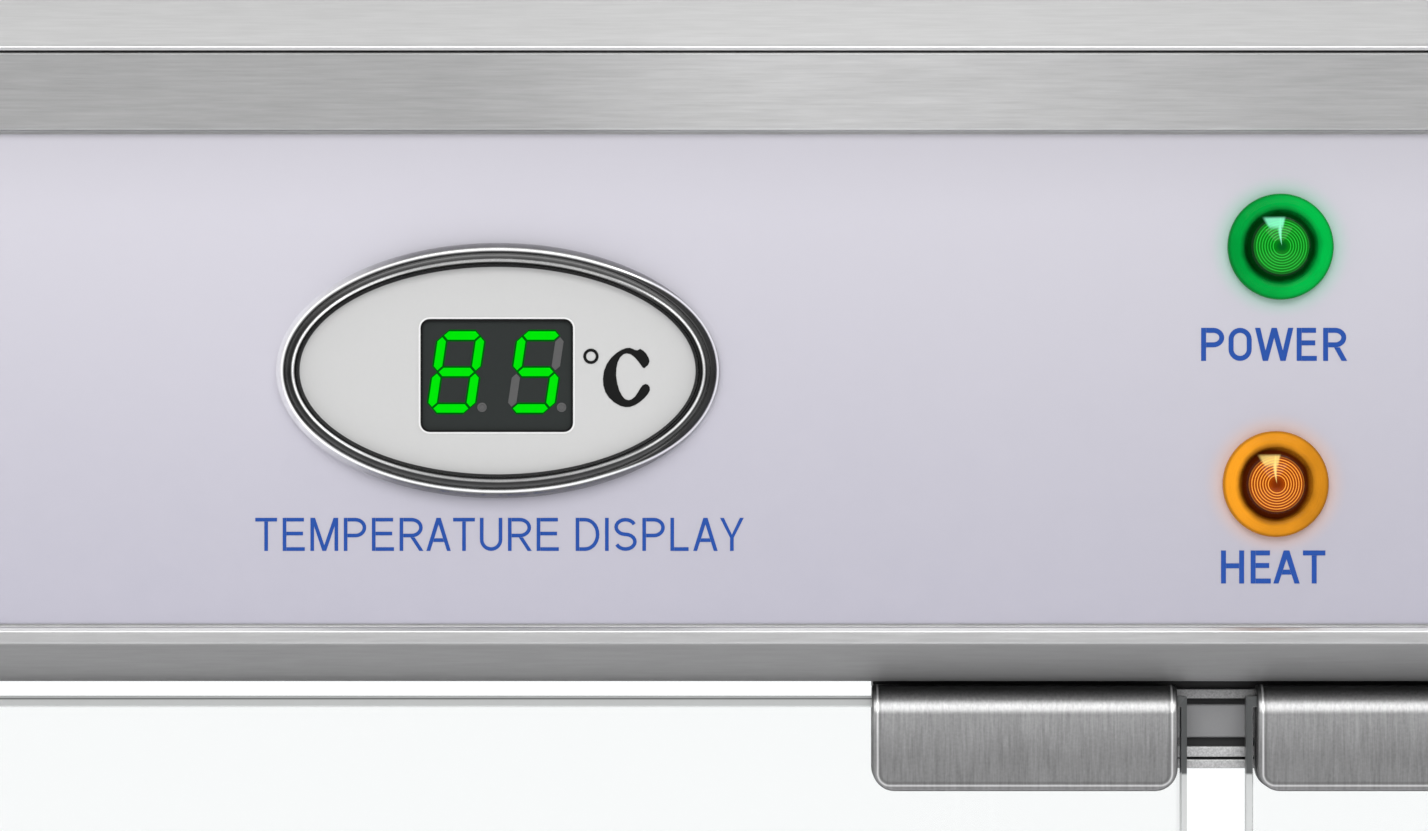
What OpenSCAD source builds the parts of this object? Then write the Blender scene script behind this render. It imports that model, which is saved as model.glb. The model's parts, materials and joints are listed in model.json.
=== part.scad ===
// Countertop warming cabinet with a glass chamber, two pivoted glass doors on a magnetic
// catch, a control header above and a heater base with a water drawer below.
// Millimetres. +Z is up, the control side faces -Y, and the origin is the middle of the
// footprint, on the surface that the feet stand on.

/* [Case] */
// Width over the header rim
case_w = 660; // [600:10:800]
// Depth over the header rim
case_d = 480; // [440:10:560]
// Height from the table to the top of the lid
case_h = 610; // [520:10:760]
// Height of the rubber feet
foot_h = 18; // [12:1:24]
// Height of the heater base
base_h = 92; // [90:1:110]
// Thickness of the folded steel sheet
sheet_t = 1.2; // [1:0.1:1.5]
// Distance that the rims stand proud of the walls
rim_out = 1.5; // [1:0.1:2]

/* [Header] */
// Height of the header from the chamber ceiling to the lid
header_h = 86; // [84:1:100]
// Height of the folded lip along the bottom of the header
lip_h = 6.75; // [6:0.25:8]
// Distance that the lip slopes back under the header
lip_back = 3.5; // [3:0.1:4]
// Height of the rim band under the lid
rim_h = 9.6; // [8:0.2:12]

/* [Doors] */
// Thickness of all the glass
glass_t = 5; // [4:0.5:5]
// Gap between the two doors
door_gap = 7.3; // [5:0.1:9]
// Gap between a door and its corner post
post_gap = 2.8; // [2.5:0.1:4]
// Width of a strike clip or hinge shoe
clip_w = 37.5; // [30:0.5:45]
// Height of a strike clip or hinge shoe
clip_h = 13; // [11:0.5:16]
// Wall of a strike clip or hinge shoe
clip_t = 1.2; // [1:0.1:1.5]

/* [Controls] */
// Distance of the temperature display to the left of the middle
display_x = 88.4; // [80:0.1:100]
// Width of the oval display bezel
bezel_w = 54.4; // [50:0.1:60]
// Height of the oval display bezel
bezel_h = 31.3; // [28:0.1:34]
// Diameter of a pilot lamp flange
pilot_d = 13; // [12:0.1:15]
// Diameter of the thermostat knob skirt
knob_d = 38; // [32:1:42]

/* [Chamber] */
// Outside size of the corner post angles
post_w = 20; // [18:1:26]
// Diameter of the shelf frame wire
shelf_wire = 5; // [4:0.5:6]
// Distance between the shelf's cross wires
shelf_pitch = 25.5; // [20:0.5:40]

/* [Hidden] */
$fn = 48;

// Levels
base_top = foot_h + base_h;
ceiling_z = case_h - header_h;
lid_t = 1;
lid_slope_h = 8.8;
rim_top = header_h - lid_slope_h;
rim_bottom = rim_top - rim_h;

// Walls: the case sits a little behind the origin, so that the pulls and the inlet balance about it
case_shift = 10;
front_y = case_shift - case_d / 2;
back_y = case_shift + case_d / 2;
skin_x = case_w / 2 - rim_out;
skin_front = front_y + rim_out;
skin_back = back_y - rim_out;
frame_x = skin_x - lip_back;
frame_front = skin_front + lip_back;
frame_back = skin_back - lip_back;
lip_slope_h = 4.8;
lip_round = 0.5;
label_t = 0.4;
mitre_reach = 60;
screw_r = 1.6;

// Doors: each hangs on a pivot set behind the glass, near its corner post
clip_out = glass_t / 2 + clip_t;
glass_y = skin_front + clip_out;
clip_clear = 0.4;
glass_top = ceiling_z - 1.85;
glass_bottom = base_top + 1.85;
post_t = 1.5;
post_in = frame_x - post_w;
door_outer = post_in - post_gap;
door_inner = door_gap / 2;
clip_inset = 1.25;
glass_bevel = 1.1;
clip_corner = 2.8;
pivot_in = clip_w / 2 + clip_inset - 0.75;
pivot_back = 6.8;
pivot_x = door_outer - pivot_in;
pivot_y = glass_y + pivot_back;
pin_r = 2.5;
pin_fit = 0.06;
bush_r = 4.5;
bush_flange_r = 5.7;
bush_flange_t = 1.2;
bush_h = 8.4;
pin_h = 7;
handle_z = 300;
handle_span = 96;
handle_in = 30;
handle_reach = 19;
handle_r = 5;
handle_bolt_r = 3;

// Header face
display_z = ceiling_z + 38.2;
window_w = 18.45;
window_h = 13.6;
window_drop = 0.6;
power_x = 7.65;
heat_x = 7.05;
power_z = ceiling_z + 53.4;
heat_z = ceiling_z + 24.3;
knob_x = 92;
knob_z = ceiling_z + 36;
switch_z = ceiling_z + 38.2;
power_switch_x = 156;
light_switch_x = 196;
shaft_r = 3;
rocker_tilt = 9;
rocker_pivot_in = 1;
rocker_pin_r = 1.2;

// Base
tray_w = 296;
tray_z0 = 38;
tray_z1 = 78;
tray_back = 130;
tray_rim = 5;
bay_w = 310;
bay_z0 = 34;
bay_z1 = 84;
heater_z = 60;
heater_r = 4;
heater_pitch = 35;
heater_x0 = 185;
heater_front = -150;
heater_back = 200;
inlet_x = 250;
inlet_z = 64;

// Chamber
side_glass_x = frame_x - post_t;
rail_w = 12;
rail_t = 1.2;
shelf_levels = [base_top + 135, base_top + 275];
shelf_front = glass_y + 30;
shelf_back = frame_back - 24;
shelf_half = side_glass_x - glass_t - 4.5;
cross_wire = 3;
lamp_y = 30;
lamp_w = 300;

// ---------------------------------------------------------------- shared shapes

// A box between two corners
module block(low, high) {
    translate(low) cube(high - low);
}

// A cylinder along Y, from y0 to y1
module rod_y(x, z, y0, y1, r) {
    translate([x, y0, z]) rotate([-90, 0, 0]) cylinder(r = r, h = y1 - y0);
}

// A cylinder along X, from x0 to x1
module rod_x(y, z, x0, x1, r) {
    translate([x0, y, z]) rotate([0, 90, 0]) cylinder(r = r, h = x1 - x0);
}

// A cylinder along Z, from z0 to z1
module rod_z(x, y, z0, z1, r) {
    translate([x, y, z0]) cylinder(r = r, h = z1 - z0);
}

// Lays an outline drawn in X and Z on the header face and raises it from u0 to u1 in front of the wall
module on_face(x, z, u0, u1) {
    translate([x, skin_front - u0, z]) rotate([90, 0, 0]) linear_extrude(u1 - u0) children();
}

// Turns a profile of radius and height into a round part that stands out of the header face
module round_on_face(x, z) {
    translate([x, skin_front, z]) rotate([90, 0, 0]) rotate_extrude() children();
}

// A rectangle with round corners, about its middle
module round_rect(w, h, r) {
    union() {
        square([w - 2 * r, h], center = true);
        square([w, h - 2 * r], center = true);
        for (sx = [-1, 1], sy = [-1, 1])
            translate([sx * (w / 2 - r), sy * (h / 2 - r)]) circle(r);
    }
}

function ellipse(a, b, n = 80) = [for (i = [0:n - 1]) [a * cos(360 * i / n), b * sin(360 * i / n)]];

// A folded band that runs round all four walls. The outline is [distance out from the wall, height].
module wall_band(outline, z) {
    half_x = skin_x;
    half_y = (skin_back - skin_front) / 2;
    translate([0, (skin_front + skin_back) / 2, z])
        for (side = [0:3]) {
            along = side % 2 == 0 ? half_x : half_y;
            away = side % 2 == 0 ? half_y : half_x;
            rotate([0, 0, side * 90])
                intersection() {
                    translate([-along - 10, -away, 0])
                        rotate([90, 0, 90])
                            linear_extrude(2 * along + 20)
                                polygon([for (p = outline) [-p[0], p[1]]]);
                    translate([0, 0, -5])
                        linear_extrude(header_h + 20)
                            polygon([
                                [-along - 10, -away - 10], [along + 10, -away - 10],
                                [along - mitre_reach, -away + mitre_reach],
                                [mitre_reach - along, -away + mitre_reach]
                            ]);
                }
        }
}

// A sheet that lies inside the walls, between the lips
module inside_sheet(z0, z1, inset) {
    block([-skin_x + inset, skin_front + inset, z0], [skin_x - inset, skin_back - inset, z1]);
}

// ---------------------------------------------------------------- base

// The drip lip that slopes back to the door plane, with the wall below or above it
function lip_outline(wall_end) = [
    [-lip_back - sheet_t, 0], [-lip_back, 0], [rim_out, lip_slope_h],
    [rim_out, lip_h - lip_round], [rim_out - lip_round, lip_h], [0, lip_h],
    [0, wall_end], [-sheet_t, wall_end], [-sheet_t, lip_slope_h - 0.4],
    [-lip_back - sheet_t, sheet_t]
];

module base_shell() {
    color("silver") difference() {
        wall_band([for (p = lip_outline(base_h)) [p[0], base_h - p[1]]], foot_h);
        block([-bay_w / 2, skin_front - 5, bay_z0], [bay_w / 2, skin_front + 5, bay_z1]);
        block([inlet_x - 14, skin_back - 5, inlet_z - 10.5], [inlet_x + 14, skin_back + 5, inlet_z + 10.5]);
        screw_holes();
        for (side = [-1, 1], row = [0:2], slot = [0:5])
            translate([side * skin_x, -110 + slot * 44, foot_h + 28 + row * 12])
                cube([10, 30, 4], center = true);
    }
}

module base_floor() {
    color("silver") inside_sheet(foot_h, foot_h + sheet_t, sheet_t);
}

module floor_plate() {
    color("gainsboro") difference() {
        inside_sheet(base_top - sheet_t, base_top, lip_back + sheet_t);
        for (side = [-1, 1]) {
            for (column = [0:3], row = [0:13])
                translate([side * (heater_x0 + column * heater_pitch), -155 + row * 26, base_top])
                    cube([24, 5, 4], center = true);
            rod_z(side * pivot_x, pivot_y, base_top - 3, base_top + 1, bush_r);
        }
        for (row = [0:8])
            translate([0, -150 + row * 30, base_top]) cube([180, 5, 4], center = true);
    }
}

module rubber_feet() {
    color("#222222")
        for (sx = [-1, 1], y = [front_y + 45, back_y - 45])
            translate([sx * (case_w / 2 - 45), y, 0])
                rotate_extrude()
                    polygon([[0, 2], [9, 2], [9, 0], [16, 0], [17, 1], [19, foot_h], [0, foot_h]]);
}

// One tubular element: four straight legs joined by round bends
module heating_element(side) {
    legs = [for (i = [0:3]) side * (heater_x0 + i * heater_pitch)];
    bend_r = heater_pitch / 2;
    union() {
        for (i = [0:3])
            rod_y(legs[i], heater_z, heater_front, i % 3 == 0 ? heater_back : heater_back - 40, heater_r);
        for (i = [0, 2])
            translate([(legs[i] + legs[i + 1]) / 2, heater_front, heater_z])
                rotate([0, 0, 180])
                    rotate_extrude(angle = 180) translate([bend_r, 0]) circle(heater_r);
        translate([(legs[1] + legs[2]) / 2, heater_back - 40, heater_z])
            rotate_extrude(angle = 180) translate([bend_r, 0]) circle(heater_r);
        for (i = [0, 3])
            rod_y(legs[i], heater_z, heater_back, heater_back + 12, heater_r / 2);
    }
}

module heating_elements() {
    color("#5a5550") for (side = [-1, 1]) heating_element(side);
}

module element_brackets() {
    color("silver")
        for (side = [-1, 1], y = [-90, 110]) {
            x0 = heater_x0 - 12;
            x1 = heater_x0 + 3 * heater_pitch + 12;
            low = side > 0 ? x0 : -x1;
            high = side > 0 ? x1 : -x0;
            union() {
                block([low, y, heater_z - heater_r - 1.5], [high, y + 14, heater_z - heater_r]);
                for (x = [low, high - 1.5])
                    block([x, y, foot_h + sheet_t], [x + 1.5, y + 14, heater_z - heater_r]);
            }
        }
}

module drawer_runners() {
    color("silver")
        for (side = [-1, 1])
            union() {
                inner = tray_w / 2 + 1.5;
                outer = tray_w / 2 + tray_rim + 1.5;
                low = side > 0 ? inner : -outer;
                high = side > 0 ? outer : -inner;
                block([low, skin_front + 2, tray_z1 - 2.7], [high, tray_back + 20, tray_z1 - 1.5]);
                wall = side > 0 ? high - 1.2 : low;
                block([wall, skin_front + 2, foot_h + sheet_t], [wall + 1.2, tray_back + 20, tray_z1 - 1.5]);
            }
}

// Appliance inlet with its screw flange and open socket
module inlet_housing() {
    color("#202020") translate([inlet_x, skin_back, inlet_z]) rotate([90, 0, 180]) difference() {
        union() {
            linear_extrude(3) round_rect(48, 25, 6);
            translate([0, 0, -24]) linear_extrude(24) square([27.4, 20.4], center = true);
        }
        translate([0, 0, -16]) linear_extrude(20) polygon([
            [-12, -8.2], [12, -8.2], [12, 4.6], [8.4, 8.2], [-8.4, 8.2], [-12, 4.6]
        ]);
        for (sx = [-1, 1]) translate([sx * 19.5, 0, -1]) cylinder(r = 1.8, h = 6);
    }
}

module inlet_pins() {
    color("silver")
        for (place = [[-7, -1], [0, 3], [7, -1]])
            translate([inlet_x - place[0], skin_back - 8, inlet_z + place[1]])
                cube([2, 16, 4], center = true);
}

module tray_pan() {
    half = tray_w / 2;
    front = skin_front - 0.2;
    color("gainsboro") union() {
        difference() {
            block([-half, front, tray_z0], [half, tray_back, tray_z1]);
            block([-half + 1.2, front + 1.2, tray_z0 + 1.2], [half - 1.2, tray_back - 1.2, tray_z1 + 1]);
        }
        for (side = [-1, 1])
            block([side > 0 ? half : -half - tray_rim, front + 3, tray_z1 - 1.2],
                  [side > 0 ? half + tray_rim : -half, tray_back, tray_z1]);
    }
}

module tray_front() {
    color("silver")
        translate([0, skin_front - 0.2, (bay_z0 + bay_z1) / 2])
            rotate([90, 0, 0]) linear_extrude(2) round_rect(bay_w + 14, bay_z1 - bay_z0 + 10, 3);
}

// A bar pull on two posts, standing out of a face at y, turned by angle about its middle
module bar_pull(x, y, z, span, reach, r, angle) {
    translate([x, y, z]) rotate([0, angle, 0]) union() {
        translate([0, -reach, -span / 2 - 8]) cylinder(r = r, h = span + 16);
        for (end = [-1, 1])
            translate([0, 0, end * span / 2]) rotate([90, 0, 0]) cylinder(r = r * 0.8, h = reach);
    }
}

module tray_pull() {
    color("silver")
        bar_pull(0, skin_front - 2.2, (bay_z0 + bay_z1) / 2, 80, 16, 4, 90);
}

// ---------------------------------------------------------------- chamber

// An angle post, from the base to the header, at the corner given by the signs
module corner_post(sx, sy) {
    outer_y = sy < 0 ? frame_front : frame_back;
    color("silver") linear_extrude_at(base_top, ceiling_z) translate([sx * frame_x, outer_y])
        scale_sign(-sx, -sy) polygon([
            [0, 0], [post_w, 0], [post_w, post_t], [post_t, post_t], [post_t, post_w], [0, post_w]
        ]);
}

module linear_extrude_at(z0, z1) {
    translate([0, 0, z0]) linear_extrude(z1 - z0) children();
}

// Mirrors an outline into the quarter given by the signs
module scale_sign(sx, sy) {
    mirror([sx < 0 ? 1 : 0, 0]) mirror([0, sy < 0 ? 1 : 0]) children();
}

module side_glass(side) {
    x = side > 0 ? side_glass_x - glass_t : -side_glass_x;
    color([0.85, 0.92, 0.92, 0.35])
        block([x, frame_front + post_t, base_top], [x + glass_t, frame_back - post_t, ceiling_z]);
}

module rear_glass() {
    half = side_glass_x - glass_t;
    y = frame_back - post_t - glass_t;
    color([0.85, 0.92, 0.92, 0.35]) block([-half, y, base_top], [half, y + glass_t, ceiling_z]);
}

// Slotted strips that stand in the corners and carry the shelf rails
module shelf_standards() {
    x = side_glass_x - glass_t;
    color("silver")
        for (side = [-1, 1], y = [glass_y + 28, shelf_back - 20])
            difference() {
                block([side > 0 ? x - 2 : -x, y, base_top], [side > 0 ? x : -x + 2, y + 14, ceiling_z]);
                for (z = [base_top + 25:25:ceiling_z - 20])
                    translate([side * x, y + 7, z]) cube([8, 4, 10], center = true);
            }
}

module shelf_rails(side) {
    outer = side_glass_x - glass_t - 2;
    inner = outer - rail_w;
    color("silver")
        for (level = shelf_levels)
            union() {
                low = side > 0 ? inner : -outer;
                high = side > 0 ? outer : -inner;
                block([low, shelf_front, level - rail_t], [high, shelf_back, level]);
                wall = side > 0 ? outer - rail_t : -outer;
                block([wall, shelf_front, level - rail_w], [wall + rail_t, shelf_back, level]);
            }
}

// A welded wire shelf: a frame of thick wire, with thinner cross wires sunk slightly into it
module wire_shelf(level) {
    z = level + shelf_wire / 2;
    half = shelf_half - shelf_wire / 2;
    y0 = shelf_front + shelf_wire;
    y1 = shelf_back - shelf_wire;
    count = floor((2 * half - 20) / shelf_pitch);
    wire_z = z + shelf_wire / 2 + cross_wire / 2 - 0.6;
    color("gainsboro") union() {
        for (y = [y0, (y0 + y1) / 2, y1]) rod_x(y, z, -half, half, shelf_wire / 2);
        for (x = [-half, half]) rod_y(x, z, y0, y1, shelf_wire / 2);
        for (x = [-half, half], y = [y0, y1]) translate([x, y, z]) sphere(shelf_wire / 2);
        for (i = [0:count])
            rod_y((i - count / 2) * shelf_pitch, wire_z, y0 - 1.2, y1 + 1.2, cross_wire / 2);
    }
}

// ---------------------------------------------------------------- header

// Holes through the header face, from u0 to u1
module face_holes(u0, u1) {
    on_face(-display_x, display_z, u0, u1) square([40.4, 18.8], center = true);
    for (lamp = [[power_x, power_z], [heat_x, heat_z]]) on_face(lamp[0], lamp[1], u0, u1) circle(5);
    on_face(knob_x, knob_z, u0, u1) circle(5);
    for (x = [power_switch_x, light_switch_x])
        on_face(x, switch_z, u0, u1) square([13, 19.2], center = true);
}

module header_shell() {
    color("silver") difference() {
        wall_band(lip_outline(rim_top - sheet_t), ceiling_z);
        face_holes(-10, 10);
        screw_holes();
        for (slot = [0:11])
            translate([-140 + slot * 24, skin_back, ceiling_z + 48]) cube([5, 10, 26], center = true);
    }
}

module header_rim() {
    color("silver")
        wall_band([
            [0, rim_bottom], [rim_out, rim_bottom], [rim_out, rim_top],
            [-10, rim_top], [-10, rim_top - sheet_t], [0, rim_top - sheet_t]
        ], ceiling_z);
}

module control_label() {
    color("#d4d2de") difference() {
        on_face(0, ceiling_z + (lip_h + rim_bottom) / 2, 0, label_t)
            square([2 * skin_x - 4, rim_bottom - lip_h - 0.8], center = true);
        face_holes(-1, 5);
    }
}

module top_lid() {
    slope_in = 4.5;
    top = header_h;
    color("silver") union() {
        wall_band([
            [-10, rim_top], [rim_out - 0.4, rim_top], [rim_out, rim_top + 0.5],
            [rim_out - slope_in, top], [-20, top], [-20, top - lid_t],
            [rim_out - slope_in - 0.6, top - lid_t], [-1.2, rim_top + sheet_t], [-10, rim_top + sheet_t]
        ], ceiling_z);
        inside_sheet(case_h - lid_t, case_h, 19);
    }
}

module ceiling_pan() {
    color("gainsboro") difference() {
        inside_sheet(ceiling_z, ceiling_z + sheet_t, lip_back + sheet_t);
        block([-lamp_w / 2, lamp_y - 22, ceiling_z - 1], [lamp_w / 2, lamp_y + 22, ceiling_z + 3]);
        for (side = [-1, 1]) rod_z(side * pivot_x, pivot_y, ceiling_z - 1, ceiling_z + 3, bush_r);
    }
}

module lamp_reflector() {
    t = 0.8;
    color("white") translate([-lamp_w / 2 - 6, lamp_y, ceiling_z + sheet_t]) rotate([90, 0, 90]) {
        linear_extrude(lamp_w + 12) polygon([
            [-34, 0], [-24, 0], [-12, 28], [12, 28], [24, 0], [34, 0], [34, t], [24 + t, t],
            [12 + t, 28 + t], [-12 - t, 28 + t], [-24 - t, t], [-34, t]
        ]);
    }
}

module lamp_tube() {
    z = ceiling_z + 15;
    color("white") union() {
        rod_x(lamp_y, z, -lamp_w / 2 + 6, lamp_w / 2 - 6, 7);
        for (side = [-1, 1])
            block([side > 0 ? lamp_w / 2 - 14 : -lamp_w / 2 + 2, lamp_y - 9, ceiling_z + 3.2],
                  [side > 0 ? lamp_w / 2 - 2 : -lamp_w / 2 + 14, lamp_y + 9, z + 9]);
    }
}

module lamp_lens() {
    color([0.95, 0.95, 0.95, 0.5])
        block([-lamp_w / 2, lamp_y - 22, ceiling_z], [lamp_w / 2, lamp_y + 22, ceiling_z + sheet_t]);
}

module terminal_block() {
    color("#e8e4d8") difference() {
        block([-250, 90, ceiling_z + sheet_t], [-178, 112, ceiling_z + 20]);
        for (i = [0:5]) rod_z(-244 + i * 12, 101, ceiling_z + 12, ceiling_z + 21, 3);
    }
}

// Places a shape, drawn along +Z, at every screw in the sides, the back of the header and the back of the base
module at_screws() {
    for (side = [-1, 1], y = [front_y + 70, case_shift, back_y - 70])
        translate([side * skin_x, y, ceiling_z + 40]) rotate([0, side * 90, 0]) children();
    for (x = [-280, 280], z = [foot_h + 12, base_top - 18, ceiling_z + 40])
        translate([x, skin_back, z]) rotate([-90, 0, 0]) children();
}

module case_screws() {
    color("silver") at_screws() rotate_extrude() polygon([
        [0, -4], [screw_r, -4], [screw_r, 0], [3.6, 0], [3.4, 1], [2.2, 2], [0, 2.2]
    ]);
}

module screw_holes() {
    at_screws() translate([0, 0, -5]) cylinder(r = screw_r + 0.06, h = 10);
}

// ---------------------------------------------------------------- magnetic catch

catch_half = 40.8;
strip_half = 42.1;
catch_depth = 14;
catch_y = glass_y + clip_out + 0.3;

module catch_core() {
    color("#151515") difference() {
        union() {
            block([-catch_half + 1, catch_y + 1.2, ceiling_z - 9.8], [catch_half - 1, catch_y + catch_depth, ceiling_z]);
            block([-strip_half, catch_y + 1.2, ceiling_z - 1.1], [strip_half, catch_y + catch_depth, ceiling_z]);
        }
        block([-catch_half, catch_y - 1, ceiling_z - 2.3], [catch_half, catch_y + catch_depth + 1, ceiling_z - 1.1]);
        block([-catch_half, catch_y - 1, ceiling_z - 9.5], [catch_half, catch_y + catch_depth + 1, ceiling_z - 8.2]);
        block([-catch_half + 2, catch_y - 1, ceiling_z - 7.1], [catch_half - 2, catch_y + 9, ceiling_z - 3]);
    }
}

module catch_plates() {
    color("silver") {
        for (z = [-2.3, -9.5])
            block([-catch_half, catch_y, ceiling_z + z],
                  [catch_half, catch_y + catch_depth, ceiling_z + z + (z < -5 ? 1.3 : 1.2)]);
        block([-catch_half, catch_y, ceiling_z - 10.9],
              [catch_half, catch_y + catch_depth, ceiling_z - 9.8]);
    }
}

module catch_magnet() {
    color("dimgray")
        block([-catch_half + 2, catch_y, ceiling_z - 7.1], [catch_half - 2, catch_y + 9, ceiling_z - 3]);
}

// ---------------------------------------------------------------- temperature display

module display_bezel() {
    a = bezel_w / 2;
    b = bezel_h / 2;
    color("lightgray") difference() {
        union() {
            on_face(-display_x, display_z, label_t, 1.6) polygon(ellipse(a, b));
            on_face(-display_x, display_z, 1.6, 2.8) polygon(ellipse(a - 0.5, b - 0.5));
            on_face(-display_x, display_z, 2.8, 3.4) polygon(ellipse(a - 1.1, b - 1.1));
        }
        on_face(-display_x, display_z, -1, 5) polygon(ellipse(a - 2.6, b - 2.7));
    }
}

module display_plate() {
    color("#d2d2d2") difference() {
        on_face(-display_x, display_z, label_t, 1.8) polygon(ellipse(bezel_w / 2 - 2.6, bezel_h / 2 - 2.7));
        on_face(-display_x, display_z - window_drop, -1, 5) round_rect(window_w, window_h, 1);
    }
}

module display_module() {
    color("#2c302f")
        on_face(-display_x, display_z - window_drop, -11, 1.5) round_rect(window_w, window_h, 1);
}

module display_case() {
    color("#1c1c1c") difference() {
        on_face(-display_x, display_z, -20, label_t) square([40, 18.4], center = true);
        on_face(-display_x, display_z - window_drop, -11, 2) round_rect(window_w, window_h, 1);
    }
}

// The thermometer's and the thermostat's bulbs, clipped under the ceiling
module sensor_bulbs() {
    color("silver")
        for (bulb = [[-40, 120, 34], [60, 150, 90]])
            union() {
                rod_x(bulb[1], ceiling_z - 4.2, bulb[0], bulb[0] + bulb[2], 3);
                block([bulb[0] + 12, bulb[1] - 4, ceiling_z - 4], [bulb[0] + 18, bulb[1] + 4, ceiling_z]);
            }
}

// ---------------------------------------------------------------- pilot lamps

module pilot_lens(x, z) {
    r = pilot_d / 2;
    u = label_t;
    round_on_face(x, z)
        polygon([
            [0, u], [r, u], [r, u + 1.2], [r - 0.5, u + 1.7], [4.9, u + 1.7],
            [4.4, u + 1.6], [3.3, u + 2.3], [1.7, u + 2.75], [0, u + 2.9]
        ]);
}

module power_lens() {
    color("green") pilot_lens(power_x, power_z);
}

module heat_lens() {
    color("orange") pilot_lens(heat_x, heat_z);
}

module pilot_lamp_bodies() {
    color("#e6e6e0")
        for (lamp = [[power_x, power_z], [heat_x, heat_z]])
            union() {
                on_face(lamp[0], lamp[1], -22, label_t) circle(4.8);
                on_face(lamp[0], lamp[1], -sheet_t - 3.2, -sheet_t) circle(7.5, $fn = 6);
                for (sx = [-1, 1])
                    on_face(lamp[0] + sx * 2.4, lamp[1], -29, -22) square([0.8, 4], center = true);
            }
}

// ---------------------------------------------------------------- thermostat

module thermostat_body() {
    color("#c9c2b4") difference() {
        on_face(knob_x, knob_z, -sheet_t - 26, -sheet_t) square([42, 34], center = true);
        on_face(knob_x, knob_z, -12, 0) circle(shaft_r + 0.06);
    }
}

module knob_shaft() {
    color("silver") on_face(knob_x, knob_z, -11.8, 9) circle(shaft_r);
}

module thermostat_knob() {
    r = knob_d / 2;
    color("#1d1d1d") round_on_face(knob_x, knob_z) polygon([
        [0, 9], [shaft_r, 9], [shaft_r, 1.2], [r, 1.2], [r, 3.4], [r - 1.2, 4.4],
        [r - 4, 5.2], [r - 4.8, 17.2], [r - 5.8, 18.2], [0, 18.6]
    ]);
}

// ---------------------------------------------------------------- rocker switches

module switch_frame(x) {
    difference() {
        union() {
            on_face(x, switch_z, label_t, label_t + 2) round_rect(15, 21, 1);
            on_face(x, switch_z, -16, label_t) square([12.8, 18.8], center = true);
        }
        on_face(x, switch_z, -4.4, 5) square([10.8, 16.9], center = true);
        rod_x(skin_front + rocker_pivot_in, switch_z, x - 8, x + 8, rocker_pin_r + 0.06);
    }
}

module switch_frames() {
    color("#181818") {
        switch_frame(power_switch_x);
        switch_frame(light_switch_x);
    }
}

// The rocker's side outline, [height, distance out of the pivot], leaning to its pressed end
module rocker(x) {
    translate([x - 5.2, skin_front + rocker_pivot_in, switch_z])
        rotate([-rocker_tilt, 0, 0])
            rotate([0, 90, 0]) rotate([0, 0, 180])
                union() {
                    linear_extrude(10.4) polygon([
                        [-7.6, -1.2], [-7.6, 4.6], [0, 3], [7.6, 4.6], [7.6, -1.2], [2.5, -2.6], [-2.5, -2.6]
                    ]);
                    translate([0, 0, -0.8]) cylinder(r = rocker_pin_r, h = 12);
                }
}

module power_rocker() {
    color("#262626") rocker(power_switch_x);
}

module light_rocker() {
    color("#262626") rocker(light_switch_x);
}

// ---------------------------------------------------------------- doors

module pivot_bushes() {
    color("ivory")
        for (side = [-1, 1], top = [0, 1])
            translate([side * pivot_x, pivot_y, top == 1 ? ceiling_z : base_top])
                mirror([0, 0, 1 - top])
                    rotate_extrude()
                        polygon([
                            [pin_r + pin_fit, 0], [bush_r, 0], [bush_r, sheet_t], [bush_flange_r, sheet_t],
                            [bush_flange_r, sheet_t + bush_flange_t], [bush_r, sheet_t + bush_flange_t],
                            [bush_r, bush_h], [0, bush_h], [0, pin_h + 0.3], [pin_r + pin_fit, pin_h + 0.3]
                        ]);
}

function cut_corners(x0, x1, y0, y1, c) = [
    [x0 + c, y0], [x1 - c, y0], [x1, y0 + c], [x1, y1 - c],
    [x1 - c, y1], [x0 + c, y1], [x0, y1 - c], [x0, y0 + c]
];

// A pane between two corners, with all its edges ground to a bevel
module ground_pane(low, high, c) {
    intersection() {
        translate([0, 0, low[2]]) linear_extrude(high[2] - low[2])
            polygon(cut_corners(low[0], high[0], low[1], high[1], c));
        translate([low[0], 0, 0]) rotate([90, 0, 90]) linear_extrude(high[0] - low[0])
            polygon(cut_corners(low[1], high[1], low[2], high[2], c));
    }
}

module door_glass(side) {
    low = side > 0 ? door_inner : -door_outer;
    high = side > 0 ? door_outer : -door_inner;
    hole_x = side * (door_inner + handle_in);
    color([0.85, 0.92, 0.92, 0.35]) difference() {
        ground_pane([low, glass_y - glass_t / 2, glass_bottom], [high, glass_y + glass_t / 2, glass_top], glass_bevel);
        for (end = [-1, 1])
            rod_y(hole_x, handle_z + end * handle_span / 2, glass_y - 5, glass_y + 5, handle_bolt_r + 0.2);
    }
}

// A strip bent over the edge of the glass. The bend is up; both legs have round corners.
module glass_clip(x0, x1) {
    inner_r = glass_t / 2;
    drop = clip_h - clip_out;
    seat = glass_top - (ceiling_z - clip_clear - clip_out);
    intersection() {
        translate([x0, 0, 0]) rotate([90, 0, 90]) linear_extrude(x1 - x0) difference() {
            union() {
                circle(clip_out);
                translate([-clip_out, -drop]) square([2 * clip_out, drop]);
            }
            translate([0, -glass_t]) round_rect(glass_t, 2 * glass_t + 2 * seat, glass_bevel);
            translate([-inner_r, -drop - 1]) square([2 * inner_r, drop + 1]);
        }
        translate([x0, 10, -drop]) rotate([90, 0, 0]) linear_extrude(20)
            union() {
                translate([clip_corner, 0]) square([x1 - x0 - 2 * clip_corner, 2 * clip_h]);
                translate([0, clip_corner]) square([x1 - x0, 2 * clip_h]);
                for (x = [clip_corner, x1 - x0 - clip_corner])
                    translate([x, clip_corner]) circle(clip_corner);
            }
    }
}

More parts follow.
